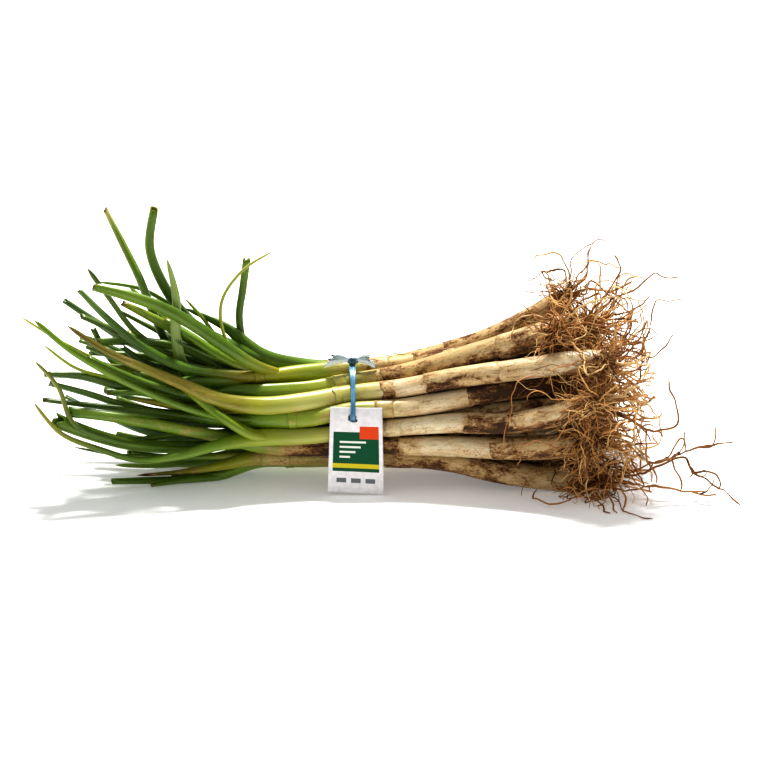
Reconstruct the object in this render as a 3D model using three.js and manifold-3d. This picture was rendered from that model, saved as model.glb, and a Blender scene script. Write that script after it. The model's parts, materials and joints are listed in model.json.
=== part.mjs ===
// A tied bunch of twenty-five spring onions lying on a table, with a card tag on its tie.
// Millimetres, +Z up, +X towards the roots. The leaves point along -X.
import * as THREE from "three";
import { mergeVertices } from "three/addons/utils/BufferGeometryUtils.js";
import Module from "manifold-3d";

const wasm = await Module();
wasm.setup();

// Driving dimensions
const BULB_R = 10.6; // radius of a stalk just above its roots
const WAIST_R = 7.3; // radius of a stalk under the tie
const NECK_R = 6.6; // radius where the leaves part
const BUNDLE_R = 47; // radius of the bundle under the tie
const WAIST_Z = 57; // height of the bundle's axis under the tie
const NECK_Z = 61; // height of the bundle's axis where the leaves part
const BULB_END_Z = 77; // height of the bundle's axis at the roots
const CLEAR = 0.5; // gap kept between two onions
const SINK = 0.5; // how far a resting stalk or leaf is flattened by the table
const GAP = 0.35; // gap kept between touching pieces

// Stalks and leaves
const STALK_SIDES = 6;
const LEAF_SIDES = 5;
const LOWEST = { stalk: 0.866, leaf: 0.951 }; // how far down such a section reaches, in radii
const PLATE = 4; // thickness of the plate that the roots grow from
// A stalk's root end: length from the end of its plate, and share of its bulb's radius
const BULB = [[0, 0.5], [PLATE, 0.66], [8, 0.9], [16, 1], [38, 0.98]];
const SHOULDER = { place: 0.62, share: 0.87 }; // share of the way to the tie, and of the bulb's radius there
const NECK_LENGTH = 80; // from the tie to where the leaves part
const LEAF_START = 45; // from there to where the longest leaf has its own thickness
const LEAF_LEAST = 20; // length that is left for it at least
// Places of a side leaf's radii, as shares of its length, and how the late one blends the middle and the end
const SIDE_LEAF = { middle: 0.35, late: 0.75, mix: [0.7, 0.3] };
const SPAN = { bulb: 42, neck: 40, leaf: 34, sideLeaf: 35 }; // length of a chain's straight spans
// Ranges of the sizes drawn at random: shares of BULB_R and WAIST_R, and radii of the hidden onions' leaves
const FRONT_SIZE = { bulb: [0.94, 1.06], waist: [0.95, 1.03] };
const HIDDEN_SIZE = { bulb: [0.88, 1.04], waist: [0.92, 1] };
const LONGEST_R = [[3.2, 4.4], [1, 3.2]]; // past the neck, at the end
const LEAF_R = [[4.4, 5.4], [2.8, 4], [0.9, 2.8]]; // at the base, in the middle, at the end

// Roots
const ROOT_SIDES = 3;
const ROOT_R = 0.9;
const ROOTS_EACH = 6;
const ROOT_STEPS = 4;
const ROOT_STEP = 21; // length of a root between two bends
const ROOT_STRETCH = [0.75, 1.2]; // share of that length, drawn at random
const ROOT_TRIES = 20; // directions that a root tries at each bend
const ROOT_SUNK = 1.5; // how deep a root starts in its plate
const ROOT_SLANT = [0.25, 1.25]; // angle from the stalk's own direction, drawn at random
const ROOT_ROOM = [0.72, 1]; // share of the tangle that a root may use, drawn at random
const ROOT_SWING = { first: 0.45, more: 0.07, outwards: 0.2, ahead: 0.35 }; // how wildly a root turns
const ROOT_BACK = -12; // X of the direction in which all roots lean outwards
// Outline of the tangled roots, along X and round the axis. A root with little room gets `least` of its
// reach.
const TANGLE = { back: 128, reach: 243, radius: 124, least: 0.6 };
const OWN_STALK = 0.4; // share of a root's first span that may lie in its own stalk
const STRAY_LOWEST = 0.6; // height of a loose root's middle over the table at least, in ROOT_R
const FAR = 75; // spans further apart than this along X can't touch

// Tie and tag
const RIBBON = { width: 5.5, thick: 0.8, bulge: 2.6, steps: 72 };
const KNOT_TURN = 80; // where the knot sits, in degrees up from the front
const KNOT_LIFT = 3.6; // height of its middle over the bundle
const KNOT = [[-4.5, 1.8], [-2, 3.3], [2, 3.3], [4.5, 1.8]]; // place along X, radius
const KNOT_SIDES = 8;
const FAN = { start: 2, startHalf: 1.5, lean: 0.25, arch: 1.2 }; // the ribbon's fanned ends
const FAN_LEFT = { reach: -20, forward: -4, rise: 1.5, half: 5.4 };
const FAN_RIGHT = { reach: 18, forward: -3, rise: 1, half: 3.8 };
const CARD = { width: 46, thick: 0.8, top: 76.5, bottom: 2, holeTop: 71, holeBottom: 64.3, holeWidth: 9 };
// Where the card's middle lies in Y at each height: its upper strip is tucked under the ribbon,
// the rest hangs in front
const CARD_BEND = [[CARD.bottom, -51.5], [40, -50], [57, -49.3], [CARD.holeBottom, -48.5],
  [CARD.holeTop, -46.9], [CARD.top, -44.6]];
const CARD_ROWS = [CARD.bottom, 14, 27, 40, 49, 57, 61, CARD.holeBottom, 67.5, CARD.holeTop, CARD.top];
const CARD_TURN = 10; // where the ribbon enters the card's hole, in degrees up from the front
const BULGE = { start: 5, length: 34, end: 16 }; // the ribbon's bulge over the card, in degrees

// Settling of the stalks and leaves against each other
const SETTLE = { passes: 320, refresh: 8, margin: 4, share: 0.45, late: 0.7, longest: 2, pull: 0.004 };
const SMOOTHING = { early: 0.22, late: 0.04 };
const CARD_ROOM = { beside: 50, below: 83, ease: 20, slope: 0.25 }; // what keeps clear of the card's back
const TIE_ROOM = { along: 60, gap: 0.9, flat: 6, slope: 0.14 }; // what stays inside the tie's ring

// Front view: routes are drawn as a viewer in front sees them, looking down by `tilt`.
// u runs along the bunch, v runs down the view, and depth is Y, negative towards the viewer.
const VIEW = { unit: 0.86, midU: 381.5, floorV: 476, tilt: (18 * Math.PI) / 180 };
const WAIST_U = 353;
const NECK_U = 262;

const CARD_U = 356.5;

const toX = (u) => (u - VIEW.midU) * VIEW.unit;
const CARD_X = toX(CARD_U);

function seen([u, v, depth]) {
  const up = (VIEW.floorV - v) * VIEW.unit;
  return [toX(u), depth, (up - depth * Math.sin(VIEW.tilt)) / Math.cos(VIEW.tilt)];
}

// Random draws that come out the same on every run
let drawState = 20260;
function draw(low = 0, high = 1) {
  drawState = (drawState * 1664525 + 1013904223) % 4294967296;
  return low + ((high - low) * drawState) / 4294967296;
}

// The onions that show in front. `stalk` runs from the root plate through the waist to the end of the
// longest leaf, and `leaf` holds that leaf's radii past the neck and at its end.
// A side leaf's `r` holds its radius at the base, in the middle and at the end.
const FRONT_ONIONS = [
  {
    name: "crown",
    stalk: [[569, 298, 10], [550, 309, 8], [525, 324, 8], [495, 338, 9], [440, 352, 15],
      [WAIST_U, 362, 18], [300, 360, 8], [262, 350, 0], [245, 339, 2], [232, 325, 6],
      [222, 315, 10], [205, 309, 14], [188, 303, 20]],
    leaf: [2.9, 1.4],
    leaves: [
      { route: [[275, 355, 10], [256, 349, 15], [243, 339, 18], [239, 325, 18], [241, 300, 18],
        [247, 256, 18]], r: [4, 3.1, 2.7] },
      { route: [[272, 356, 2], [243, 347, 8], [225, 340, 10], [205, 317, 12], [186, 296, 12]],
        r: [3.4, 1.6, 0.9] },
      { route: [[285, 358, 2], [258, 352, -6], [232, 340, -8], [210, 331, -6], [190, 321, -2],
        [165, 310, 4]], r: [5.5, 4.6, 2.4] },
    ],
  },
  {
    name: "yellow",
    stalk: [[588, 328, -8], [560, 336, -8], [512, 350, -8], [440, 361, -6], [WAIST_U, 368, 2],
      [300, 374, -9], [262, 377, -17], [240, 375, -24], [220, 373, -28], [200, 370, -32],
      [180, 365, -36], [160, 356, -40], [130, 337, -44], [105, 313, -45], [83, 291, -44]],
    leaf: [4.6, 2.9],
    leaves: [
      { route: [[290, 372, -12], [262, 365, -24], [245, 356, -30], [228, 345, -34],
        [200, 326, -37], [170, 309, -38], [135, 296, -38], [97, 286, -36]], r: [5.6, 4.8, 3.9] },
      { route: [[285, 374, -12], [258, 369, -16], [240, 364, -20], [215, 350, -23],
        [190, 333, -22], [168, 318, -16]], r: [5, 4.2, 2.6] },
      { route: [[285, 376, -14], [245, 381, -20], [215, 383, -24], [192, 385, -24],
        [160, 381, -20], [135, 372, -16]], r: [6, 5, 1.6] },
      { route: [[285, 370, -10], [262, 364, -20], [237, 350, -27], [228, 337, -27],
        [221, 315, -20], [226, 290, -8], [245, 266, 2], [262, 251, 7], [275, 248, 8]],
        r: [3, 1.5, 0.8] },
    ],
  },
  {
    name: "slim",
    stalk: [[556, 325, -33], [538, 330, -32], [500, 340, -27], [441, 354, -18],
      [WAIST_U, 374, -13], [300, 387, -22], [262, 391, -28], [220, 392, -26], [180, 396, -20],
      [140, 391, -27], [100, 382, -36], [65, 374, -43], [48, 376, -45]],
    leaf: [4, 3.4],
    leaves: [
      { route: [[265, 391, -26], [232, 390, -20], [200, 384, -17], [183, 366, -19],
        [178, 335, -22], [179, 300, -23], [170, 260, -20]], r: [4.5, 3.6, 1] },
      { route: [[265, 391, -24], [220, 391, -18], [180, 391, -14], [150, 387, -18],
        [125, 380, -26], [90, 371, -38], [65, 360, -44], [47, 344, -45]], r: [3.4, 1.8, 1.1] },
    ],
  },
  {
    name: "russet",
    stalk: [[604, 357, -58], [560, 358, -52], [500, 365, -42], [440, 372, -33],
      [WAIST_U, 387, -25], [300, 400, -34], [258, 405, -42], [235, 403, -47], [215, 398, -51],
      [180, 383, -54], [140, 366, -57], [92, 343, -60], [71, 327, -60]],
    leaf: [5, 1.9],
    leaves: [
      { route: [[285, 402, -36], [258, 409, -38], [232, 411, -38], [200, 408, -34],
        [165, 403, -32], [131, 398, -32]], r: [5.5, 3.8, 1.6] },
    ],
  },
  {
    name: "dark",
    stalk: [[583, 386, -30], [533, 387, -32], [500, 390, -33], [440, 397, -34],
      [WAIST_U, 404, -34], [300, 416, -32], [262, 419, -31], [220, 421, -28], [185, 417, -26],
      [130, 410, -35], [80, 404, -45], [47, 400, -48]],
    leaf: [3.6, 2.6],
    leaves: [
      { route: [[270, 418, -32], [240, 414, -36], [195, 404, -38], [150, 387, -43],
        [110, 368, -50], [75, 347, -53], [39, 317, -54]], r: [4.4, 3.1, 1.9] },
      { route: [[270, 417, -28], [235, 410, -26], [190, 398, -27], [150, 383, -32],
        [110, 364, -40], [60, 338, -47], [25, 316, -48]], r: [3.2, 1.7, 0.9] },
      { route: [[270, 419, -26], [220, 414, -18], [160, 410, -22], [115, 401, -36], [85, 391, -44],
        [51, 382, -48]], r: [4.4, 3.3, 2] },
    ],
  },
  {
    name: "bright",
    stalk: [[594, 399, -78], [570, 408, -74], [540, 417, -67], [500, 421, -58], [440, 421, -46],
      [WAIST_U, 430, -39], [300, 435, -42], [265, 436, -47], [240, 440, -52], [200, 448, -59],
      [170, 457, -63], [140, 458, -65], [110, 450, -68], [75, 437, -71], [55, 424, -73],
      [38, 401, -72]],
    leaf: [3.9, 1.5],
    leaves: [
      { route: [[290, 435, -43], [256, 433, -50], [240, 425, -54], [225, 414, -54],
        [210, 402, -49], [192, 391, -38], [176, 378, -30]], r: [6.2, 5.6, 2.4] },
      { route: [[280, 434, -38], [235, 415, -20], [205, 392, -10], [190, 368, -10],
        [186, 335, -14], [183, 288, -14]], r: [4, 3, 1.2] },
    ],
  },
  {
    name: "pale",
    stalk: [[592, 437, -72], [575, 441, -70], [541, 447, -64], [487, 447, -52], [440, 445, -42],
      [WAIST_U, 445, -35], [300, 447, -31], [262, 444, -30], [225, 436, -38], [175, 427, -49],
      [130, 418, -57], [90, 413, -62], [72, 411, -63]],
    leaf: [4.6, 3.8],
    leaves: [
      { route: [[270, 445, -28], [230, 444, -32], [190, 449, -44], [150, 446, -53],
        [110, 438, -61], [78, 424, -67], [66, 403, -69], [60, 376, -69], [54, 365, -68],
        [39, 361, -66]], r: [4.6, 3, 1.3] },
      { route: [[270, 447, -26], [225, 446, -28], [180, 448, -36], [140, 446, -46],
        [100, 437, -57], [57, 421, -65]], r: [4.8, 4.3, 5] },
    ],
  },
  {
    name: "low",
    stalk: [[598, 481.5, -40], [579, 481, -39], [540, 478, -38], [502, 473, -36], [441, 461, -30],
      [WAIST_U, 456, -22], [300, 458, -20], [262, 459, -20], [240, 464, -20], [210, 472, -18],
      [170, 478, -15], [138, 480, -10]],
    leaf: [2.9, 1.2],
    leaves: [
      { route: [[275, 458, -17], [245, 457, -12], [200, 458, -14], [165, 458, -18],
        [130, 453, -24]], r: [5, 3.4, 2] },
      { route: [[275, 457, -14], [230, 458, -6], [170, 457, -20], [120, 455, -38], [76, 447, -46]],
        r: [3.6, 1.8, 0.8] },
    ],
  },
];

// The onions behind them, by their place round the bundle's axis under the tie: degrees from the front,
// and radius. `leaves` are routes that show over the others; the rest of each fan is drawn at random.
const HIDDEN_ONIONS = [
  { turn: -78, out: 40 },
  { turn: -102, out: 41, leaves: [
    { route: [[285, 458, 12], [245, 464, 20], [210, 468, 24], [172, 469, 26]], r: [5, 4, 2.4] },
  ] },
  { turn: -126, out: 40 },
  { turn: -150, out: 39 },
  { turn: 186, out: 39 },
  { turn: 162, out: 39, leaves: [
    { route: [[285, 372, 36], [240, 352, 34], [205, 330, 28], [180, 306, 22], [160, 275, 19],
      [150, 243, 18], [155, 207, 18]], r: [5.4, 4.3, 4] },
    { route: [[285, 370, 40], [240, 350, 42], [200, 318, 38], [168, 291, 34], [135, 277, 32],
      [101, 273, 30]], r: [4, 2, 1.2] },
  ] },
  { turn: 139, out: 39, leaves: [
    { route: [[285, 365, 26], [240, 362, 24], [195, 352, 20], [165, 333, 14], [153, 300, 11],
      [136, 262, 11], [108, 206, 12]], r: [5, 4, 2.6] },
  ] },
  { turn: 8, out: 23, leaves: [
    { route: [[285, 395, -12], [240, 378, -10], [205, 351, -8], [170, 342, -12], [125, 336, -15],
      [97, 338, -16]], r: [5, 3.4, 2.2] },
  ] },
  { turn: 62, out: 22, leaves: [
    { route: [[285, 385, -4], [235, 372, 2], [190, 358, 0], [142, 332, -8], [112, 295, -15],
      [91, 266, -16]], r: [4.4, 2.3, 1.8] },
  ] },
  { turn: 112, out: 23, leaves: [
    { route: [[285, 385, 12], [235, 368, 14], [190, 340, 8], [150, 318, 0], [124, 305, -4]],
      r: [5.6, 5, 2.2] },
  ] },
  { turn: 165, out: 22 },
  { turn: -145, out: 23 },
  { turn: -95, out: 22, leaves: [
    { route: [[285, 420, 4], [235, 405, 6], [170, 385, 4], [110, 352, -2], [93, 322, -6]],
      r: [4.6, 3, 2.2] },
  ] },
  { turn: -42, out: 23 },
  { turn: 20, out: 7 },
  { turn: 140, out: 7.5 },
  { turn: -100, out: 7.5 },
];

// A hidden onion's route: u, height of the bundle's axis, how much wider the bundle is there than under
// the tie, and how far the place may stray
const END_U = [566, 598];
const STATIONS = [[530, 75, 1.6, 2], [440, 66, 1.2, 0], [WAIST_U, WAIST_Z, 1, 0], [300, 58, 1.02, 0],
  [NECK_U, NECK_Z, 1.08, 0]];
const BULB_END = { wider: 1.8, stray: 4 };
// How the leaves fan out from the neck: how far a leaf may stray, how much it rises, and how much wider
// the fan gets
const LEAF_FAN = { sideways: 26, down: 22, up: 34, bow: 10, rise: 30, lessBelow: 1.15, outer: 39,
  from: 1.08, higher: 0.75, wider: 0.95, lowest: 5, steps: [0.33, 0.66, 1] };
const LONGEST_U = [60, 120]; // where the longest leaves end
const LEAF_U = [70, 180]; // where the side leaves end

// Loose roots that stray from the tangle, by the front onion that they grow from
const STRAY_ROOTS = {
  pale: [[[592, 437, -72], [628, 452, -72], [652, 462, -68], [668, 458, -64], [700, 447, -60],
    [731, 442, -58]]],
  low: [
    [[598, 481, -40], [640, 473, -54], [679, 456, -60], [692, 472, -66], [714, 487, -74],
      [737, 504, -83]],
    [[598, 481, -40], [636, 484, -58], [660, 487, -62], [689, 491, -66], [714, 494, -70]],
  ],
  bright: [[[594, 399, -78], [628, 420, -84], [655, 432, -84], [672, 424, -82], [671, 402, -80],
    [665, 380, -78]]],
};

// A smooth line through the points, as fine steps [x, y, z, length so far]
function smoothLine(points, perSpan = 12) {
  const at = (i) => points[Math.min(Math.max(i, 0), points.length - 1)];
  const line = [];
  for (let i = 0; i + 1 < points.length; i++) {
    const [a, b, c, d] = [at(i - 1), at(i), at(i + 1), at(i + 2)];
    for (let k = 0; k < perSpan; k++) {
      const t = k / perSpan;
      line.push([0, 1, 2].map((j) => 0.5 * (2 * b[j] + (c[j] - a[j]) * t +
        (2 * a[j] - 5 * b[j] + 4 * c[j] - d[j]) * t * t + (3 * b[j] - a[j] - 3 * c[j] + d[j]) * t * t * t)));
    }
  }
  line.push([...points[points.length - 1]]);
  let length = 0;
  line.forEach((p, i) => {
    if (i) length += Math.hypot(p[0] - line[i - 1][0], p[1] - line[i - 1][1], p[2] - line[i - 1][2]);
    p[3] = length;
  });
  return line;
}

function pointAt(line, length) {
  let i = 1;
  while (i < line.length - 1 && line[i][3] < length) i++;
  const [a, b] = [line[i - 1], line[i]];
  const t = Math.min(Math.max((length - a[3]) / Math.max(b[3] - a[3], 1e-9), 0), 1);
  return [0, 1, 2].map((j) => a[j] + (b[j] - a[j]) * t);
}

// Straight-line interpolation in a list of [place, value]
function ramp(stops, x) {
  let i = 1;
  while (i < stops.length - 1 && stops[i][0] < x) i++;
  const [[x0, y0], [x1, y1]] = [stops[i - 1], stops[i]];
  return y0 + (y1 - y0) * Math.min(Math.max((x - x0) / (x1 - x0), 0), 1);
}

// Length along the line at which it passes X
function lengthAtX(line, x) {
  const i = line.findIndex((p) => p[0] <= x);
  return line[i < 0 ? line.length - 1 : i][3];
}

function chainOf(onion, kind, line, places, radii) {
  const points = places.map((s) => pointAt(line, s));
  return { onion, kind, points, radii: places.map((s) => ramp(radii, s)) };
}

// Chain of a whole stalk: rounded root end, bulb, waist, neck and its longest leaf
function stalkChain(onion, points, bulbR, waistR, [leafR, endR]) {
  const line = smoothLine(points);
  const total = line[line.length - 1][3];
  const waist = lengthAtX(line, toX(WAIST_U));
  const neck = waist + NECK_LENGTH;
  const leaf = Math.min(neck + LEAF_START, total - LEAF_LEAST);
  const radii = [
    ...BULB.map(([place, share]) => [place, bulbR * share]),
    [waist * SHOULDER.place, bulbR * SHOULDER.share],
    [waist, waistR],
    [neck, NECK_R],
    [leaf, leafR],
    [total, endR],
  ];
  const places = BULB.map(([place]) => place);
  const bulbEnd = places[places.length - 1];
  const spread = (from, to, step) => {
    const n = Math.max(1, Math.round((to - from) / step));
    for (let k = 1; k <= n; k++) places.push(from + ((to - from) * k) / n);
  };
  spread(bulbEnd, waist, SPAN.bulb);
  spread(waist, neck, SPAN.neck);
  spread(neck, total, SPAN.leaf);
  return chainOf(onion, "stalk", line, places, radii);
}

// Chain of a side leaf, whose first point stays on the centre line of the stalk that it grows from
function leafChain(onion, parent, points, [baseR, midR, endR]) {
  const line = smoothLine(points);
  const total = line[line.length - 1][3];
  const n = Math.max(4, Math.round(total / SPAN.sideLeaf));
  const places = Array.from({ length: n + 1 }, (_, k) => (total * k) / n);
  const { middle, late, mix } = SIDE_LEAF;
  const lateR = midR * mix[0] + endR * mix[1];
  const radii = [[0, baseR], [total * middle, midR], [total * late, lateR], [total, endR]];
  const chain = chainOf(onion, "leaf", line, places, radii);
  chain.parent = parent;
  chain.joint = footOn(parent.points, chain.points[0]);
  return chain;
}

// Place on a polyline nearest to a point, as a span number plus a fraction
function footOn(points, p) {
  let best = [Infinity, 0];
  for (let k = 0; k + 1 < points.length; k++) {
    const [t, , gap] = nearest(points[k], points[k + 1], p, [p[0], p[1], p[2] + 1e-3]);
    if (Math.hypot(...gap) < best[0]) best = [Math.hypot(...gap), k + t];
  }
  return best[1];
}

function onPolyline(points, place) {
  const k = Math.min(Math.floor(place), points.length - 2);
  return [0, 1, 2].map((j) => points[k][j] + (points[k + 1][j] - points[k][j]) * (place - k));
}

// Route of a hidden onion: it keeps its place in the bundle while the bundle widens to both ends
function hiddenRoute(turn, out) {
  const [dy, dz] = outwards(turn, out);
  const place = ([u, z, wider, stray]) =>
    [toX(u), dy * wider + draw(-stray, stray), z + dz * wider + draw(-stray, stray)];
  return [[draw(...END_U), BULB_END_Z, BULB_END.wider, BULB_END.stray], ...STATIONS].map(place);
}

// Y and Z of a place in the bundle, from its axis
function outwards(turn, out) {
  const a = (turn * Math.PI) / 180;
  return [-out * Math.cos(a), out * Math.sin(a)];
}

// The rest of a leaf's route, from the neck out into the fan
function fanRoute(neck, turn, out, endU) {
  const f = LEAF_FAN;
  const [dy, dz] = outwards(turn, out);
  const sideways = draw(-f.sideways, f.sideways);
  const upwards = draw(-f.down, f.up);
  const bow = draw(-f.bow, f.bow);
  const lift = dz < 0 ? f.rise * (1 + (dz / f.outer) * f.lessBelow) : f.rise;
  const place = (t) => {
    const u = NECK_U + (endU - NECK_U) * t;
    const y = dy * (f.from + f.wider * t) + sideways * t * t;
    const straight = NECK_Z + lift * t + dz * (f.from + f.higher * t);
    const z = straight + upwards * t * t + bow * Math.sin(Math.PI * t);
    return [toX(u), y, Math.max(z, f.lowest)];
  };
  return [neck, ...f.steps.map(place)];
}

function makeChains() {
  const chains = [];
  const addPlant = (stalk, leaves) => {
    chains.push(stalk);
    leaves.forEach(({ route, r }) => chains.push(leafChain(stalk.onion, stalk, route.map(seen), r)));
  };
  FRONT_ONIONS.forEach(({ stalk, leaf, leaves }, i) => {
    const [bulbR, waistR] = [BULB_R * draw(...FRONT_SIZE.bulb), WAIST_R * draw(...FRONT_SIZE.waist)];
    addPlant(stalkChain(i, stalk.map(seen), bulbR, waistR, leaf), leaves);
  });
  HIDDEN_ONIONS.forEach(({ turn, out, leaves = [] }, k) => {
    const i = FRONT_ONIONS.length + k;
    const body = hiddenRoute(turn, out);
    const neck = body[body.length - 1];
    const main = [...body.slice(0, -1), ...fanRoute(neck, turn, out, draw(...LONGEST_U))];
    const [bulbR, waistR] = [BULB_R * draw(...HIDDEN_SIZE.bulb), WAIST_R * draw(...HIDDEN_SIZE.waist)];
    const parent = stalkChain(i, main, bulbR, waistR, LONGEST_R.map((range) => draw(...range)));
    addPlant(parent, leaves);
    for (let n = leaves.length; n < 2; n++) {
      const route = [body[body.length - 2], ...fanRoute(neck, turn, out, draw(...LEAF_U))];
      chains.push(leafChain(i, parent, route, LEAF_R.map((range) => draw(...range))));
    }
  });
  return chains;
}

// Nearest points of two segments: how far along each, and the vector from the second to the first
function nearest(p, q, r, s) {
  const less = (m, n) => [m[0] - n[0], m[1] - n[1], m[2] - n[2]];
  const [d1, d2, w] = [less(q, p), less(s, r), less(p, r)];
  const dot = (m, n) => m[0] * n[0] + m[1] * n[1] + m[2] * n[2];
  const [a, e, f, c, b] = [dot(d1, d1), dot(d2, d2), dot(d2, w), dot(d1, w), dot(d1, d2)];
  const limit = (t) => Math.min(Math.max(t, 0), 1);
  const denominator = a * e - b * b;
  let t1 = denominator > 1e-9 ? limit((b * f - c * e) / denominator) : 0.5;
  const t2 = limit((b * t1 + f) / e);
  t1 = limit((b * t2 - c) / a);
  return [t1, t2, [0, 1, 2].map((j) => w[j] + d1[j] * t1 - d2[j] * t2)];
}

// Pushes the chains apart until no two onions touch, keeping each close to its drawn route
function settle(chains) {
  const segments = [];
  chains.forEach((chain) => {
    chain.drawn = chain.points.map((p) => [...p]);
    for (let k = 0; k + 1 < chain.points.length; k++) segments.push({ chain, k });
  });
  const boxOf = ({ chain, k }) => {
    const [a, b] = [chain.points[k], chain.points[k + 1]];
    const r = Math.max(chain.radii[k], chain.radii[k + 1]) + SETTLE.margin;
    return [0, 1, 2].map((j) => [Math.min(a[j], b[j]) - r, Math.max(a[j], b[j]) + r]);
  };
  let pairs = [];
  for (let pass = 0; pass < SETTLE.passes; pass++) {
    if (pass % SETTLE.refresh === 0) {
      const boxes = segments.map(boxOf);
      const meet = (m, n) => [0, 1, 2].every((k) => m[k][0] < n[k][1] && n[k][0] < m[k][1]);
      pairs = [];
      for (let i = 0; i < segments.length; i++)
        for (let j = i + 1; j < segments.length; j++)
          if (segments[i].chain.onion !== segments[j].chain.onion && meet(boxes[i], boxes[j]))
            pairs.push([segments[i], segments[j]]);
    }
    chains.forEach((chain) => (chain.push = chain.points.map(() => [0, 0, 0])));
    for (const [m, n] of pairs) {
      const [p, q] = [m.chain.points, n.chain.points];
      const [t1, t2, gap] = nearest(p[m.k], p[m.k + 1], q[n.k], q[n.k + 1]);
      const need = m.chain.radii[m.k] * (1 - t1) + m.chain.radii[m.k + 1] * t1 +
        n.chain.radii[n.k] * (1 - t2) + n.chain.radii[n.k + 1] * t2 + CLEAR;
      const distance = Math.hypot(...gap);
      if (distance >= need) continue;
      const way = distance > 1e-6 ? gap.map((g) => g / distance) : [0, 1, 0];
      for (let j = 0; j < 3; j++) {
        const amount = way[j] * (need - distance) * SETTLE.share;
        m.chain.push[m.k][j] += amount * (1 - t1);
        m.chain.push[m.k + 1][j] += amount * t1;
        n.chain.push[n.k][j] -= amount * (1 - t2);
        n.chain.push[n.k + 1][j] -= amount * t2;
      }
    }
    const late = pass > SETTLE.passes * SETTLE.late;
    const smoothing = late ? SMOOTHING.late : SMOOTHING.early;
    chains.forEach((chain) => relax(chain, smoothing, late ? 0 : SETTLE.pull));
    for (const chain of chains)
      if (chain.parent) chain.points[0] = onPolyline(chain.parent.points, chain.joint);
  }
}

// Moves a chain by its pushes, smooths its bends, and keeps it on the table, behind the card and in the tie
function relax(chain, smoothing, pull) {
  const { points, drawn, push, radii, kind } = chain;
  const limited = (v) => Math.min(Math.max(v, -SETTLE.longest), SETTLE.longest);
  const moved = points.map((p, k) =>
    p.map((v, j) => (v + limited(push[k][j]) - drawn[k][j]) * (1 - pull)));
  points.forEach((p, k) => {
    const [a, b] = [moved[Math.max(k - 1, 0)], moved[Math.min(k + 1, moved.length - 1)]];
    const own = moved[k];
    for (let j = 0; j < 3; j++) p[j] = drawn[k][j] + own[j] + smoothing * ((a[j] + b[j]) / 2 - own[j]);
    p[2] = Math.max(p[2], radii[k] * LOWEST[kind] - SINK);
    const beside = Math.abs(p[0] - CARD_X) - CARD.width / 2;
    const behindCard = ramp(CARD_BEND, p[2]) + CARD.thick / 2 + CLEAR;
    const ease = Math.max(beside - CARD_ROOM.ease, 0) * CARD_ROOM.slope;
    if (beside < CARD_ROOM.beside && p[2] < CARD_ROOM.below)
      p[1] = Math.max(p[1], radii[k] + behindCard - ease);
    const off = Math.abs(p[0] - toX(WAIST_U));
    if (off < TIE_ROOM.along) {
      const [y, z] = [p[1], p[2] - WAIST_Z];
      const far = Math.hypot(y, z);
      const wider = Math.max(off - TIE_ROOM.flat, 0) * TIE_ROOM.slope;
      const room = BUNDLE_R - TIE_ROOM.gap - radii[k] + wider;
      if (far > room) [p[1], p[2]] = [(y * room) / far, WAIST_Z + (z * room) / far];
    }
  });
}

// Axes across a chain at each of its points, carried along it without twisting
function framesOf(points) {
  const v = points.map((p) => new THREE.Vector3(...p));
  let side = new THREE.Vector3(0, 0, 1);
  return v.map((p, k) => {
    const along = v[Math.min(k + 1, v.length - 1)].clone().sub(v[Math.max(k - 1, 0)]).normalize();
    side = side.clone().addScaledVector(along, -side.dot(along)).normalize();
    return { p, along, side, up: new THREE.Vector3().crossVectors(along, side) };
  });
}

function solidOf(geometry) {
  const bare = geometry.clone();
  bare.deleteAttribute("normal");
  bare.deleteAttribute("uv");
  const merged = mergeVertices(bare, 1e-4);
  return new wasm.Manifold(new wasm.Mesh({
    numProp: 3,
    vertProperties: new Float32Array(merged.attributes.position.array),
    triVerts: new Uint32Array(merged.index.array),
  }));
}

// A closed tube: a cylinder whose rings are moved onto the frames of a chain
function limb(frames, radii, sides) {
  const steps = frames.length - 1;
  const geometry = new THREE.CylinderGeometry(1, 1, steps, sides, steps);
  const position = geometry.attributes.position;
  for (let i = 0; i < position.count; i++) {
    const k = Math.round(steps / 2 - position.getY(i));
    const { p, side, up } = frames[k];
    const at = p.clone();
    at.addScaledVector(side, position.getX(i) * radii[k]);
    at.addScaledVector(up, position.getZ(i) * radii[k]);
    position.setXYZ(i, at.x, at.y, at.z);
  }
  return geometry;
}

function geometryOf(solid) {
  const { vertProperties, triVerts } = solid.getMesh();
  const geometry = new THREE.BufferGeometry();
  geometry.setAttribute("position", new THREE.BufferAttribute(new Float32Array(vertProperties), 3));
  geometry.setIndex(new THREE.BufferAttribute(new Uint32Array(triVerts), 1));
  geometry.computeVertexNormals();
  return geometry;
}

const chains = makeChains();
settle(chains);

const bunch = new THREE.Group();
const FINISH = {
  onion: new THREE.MeshStandardMaterial({ color: 0xb9c48a, roughness: 0.5, metalness: 0 }),
  root: new THREE.MeshStandardMaterial({ color: 0xa3713c, roughness: 0.9, metalness: 0 }),
  tie: new THREE.MeshStandardMaterial({ color: 0x5fa8cc, roughness: 0.35, metalness: 0 }),
  tag: new THREE.MeshStandardMaterial({ color: 0xeeeae4, roughness: 0.7, metalness: 0 }),
};

function addMesh(name, geometry, finish) {
  const mesh = new THREE.Mesh(geometry, finish);
  mesh.name = name;
  bunch.add(mesh);
}

const label = (i) => String(i + 1).padStart(2, "0");
const ONION_COUNT = FRONT_ONIONS.length + HIDDEN_ONIONS.length;

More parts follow.
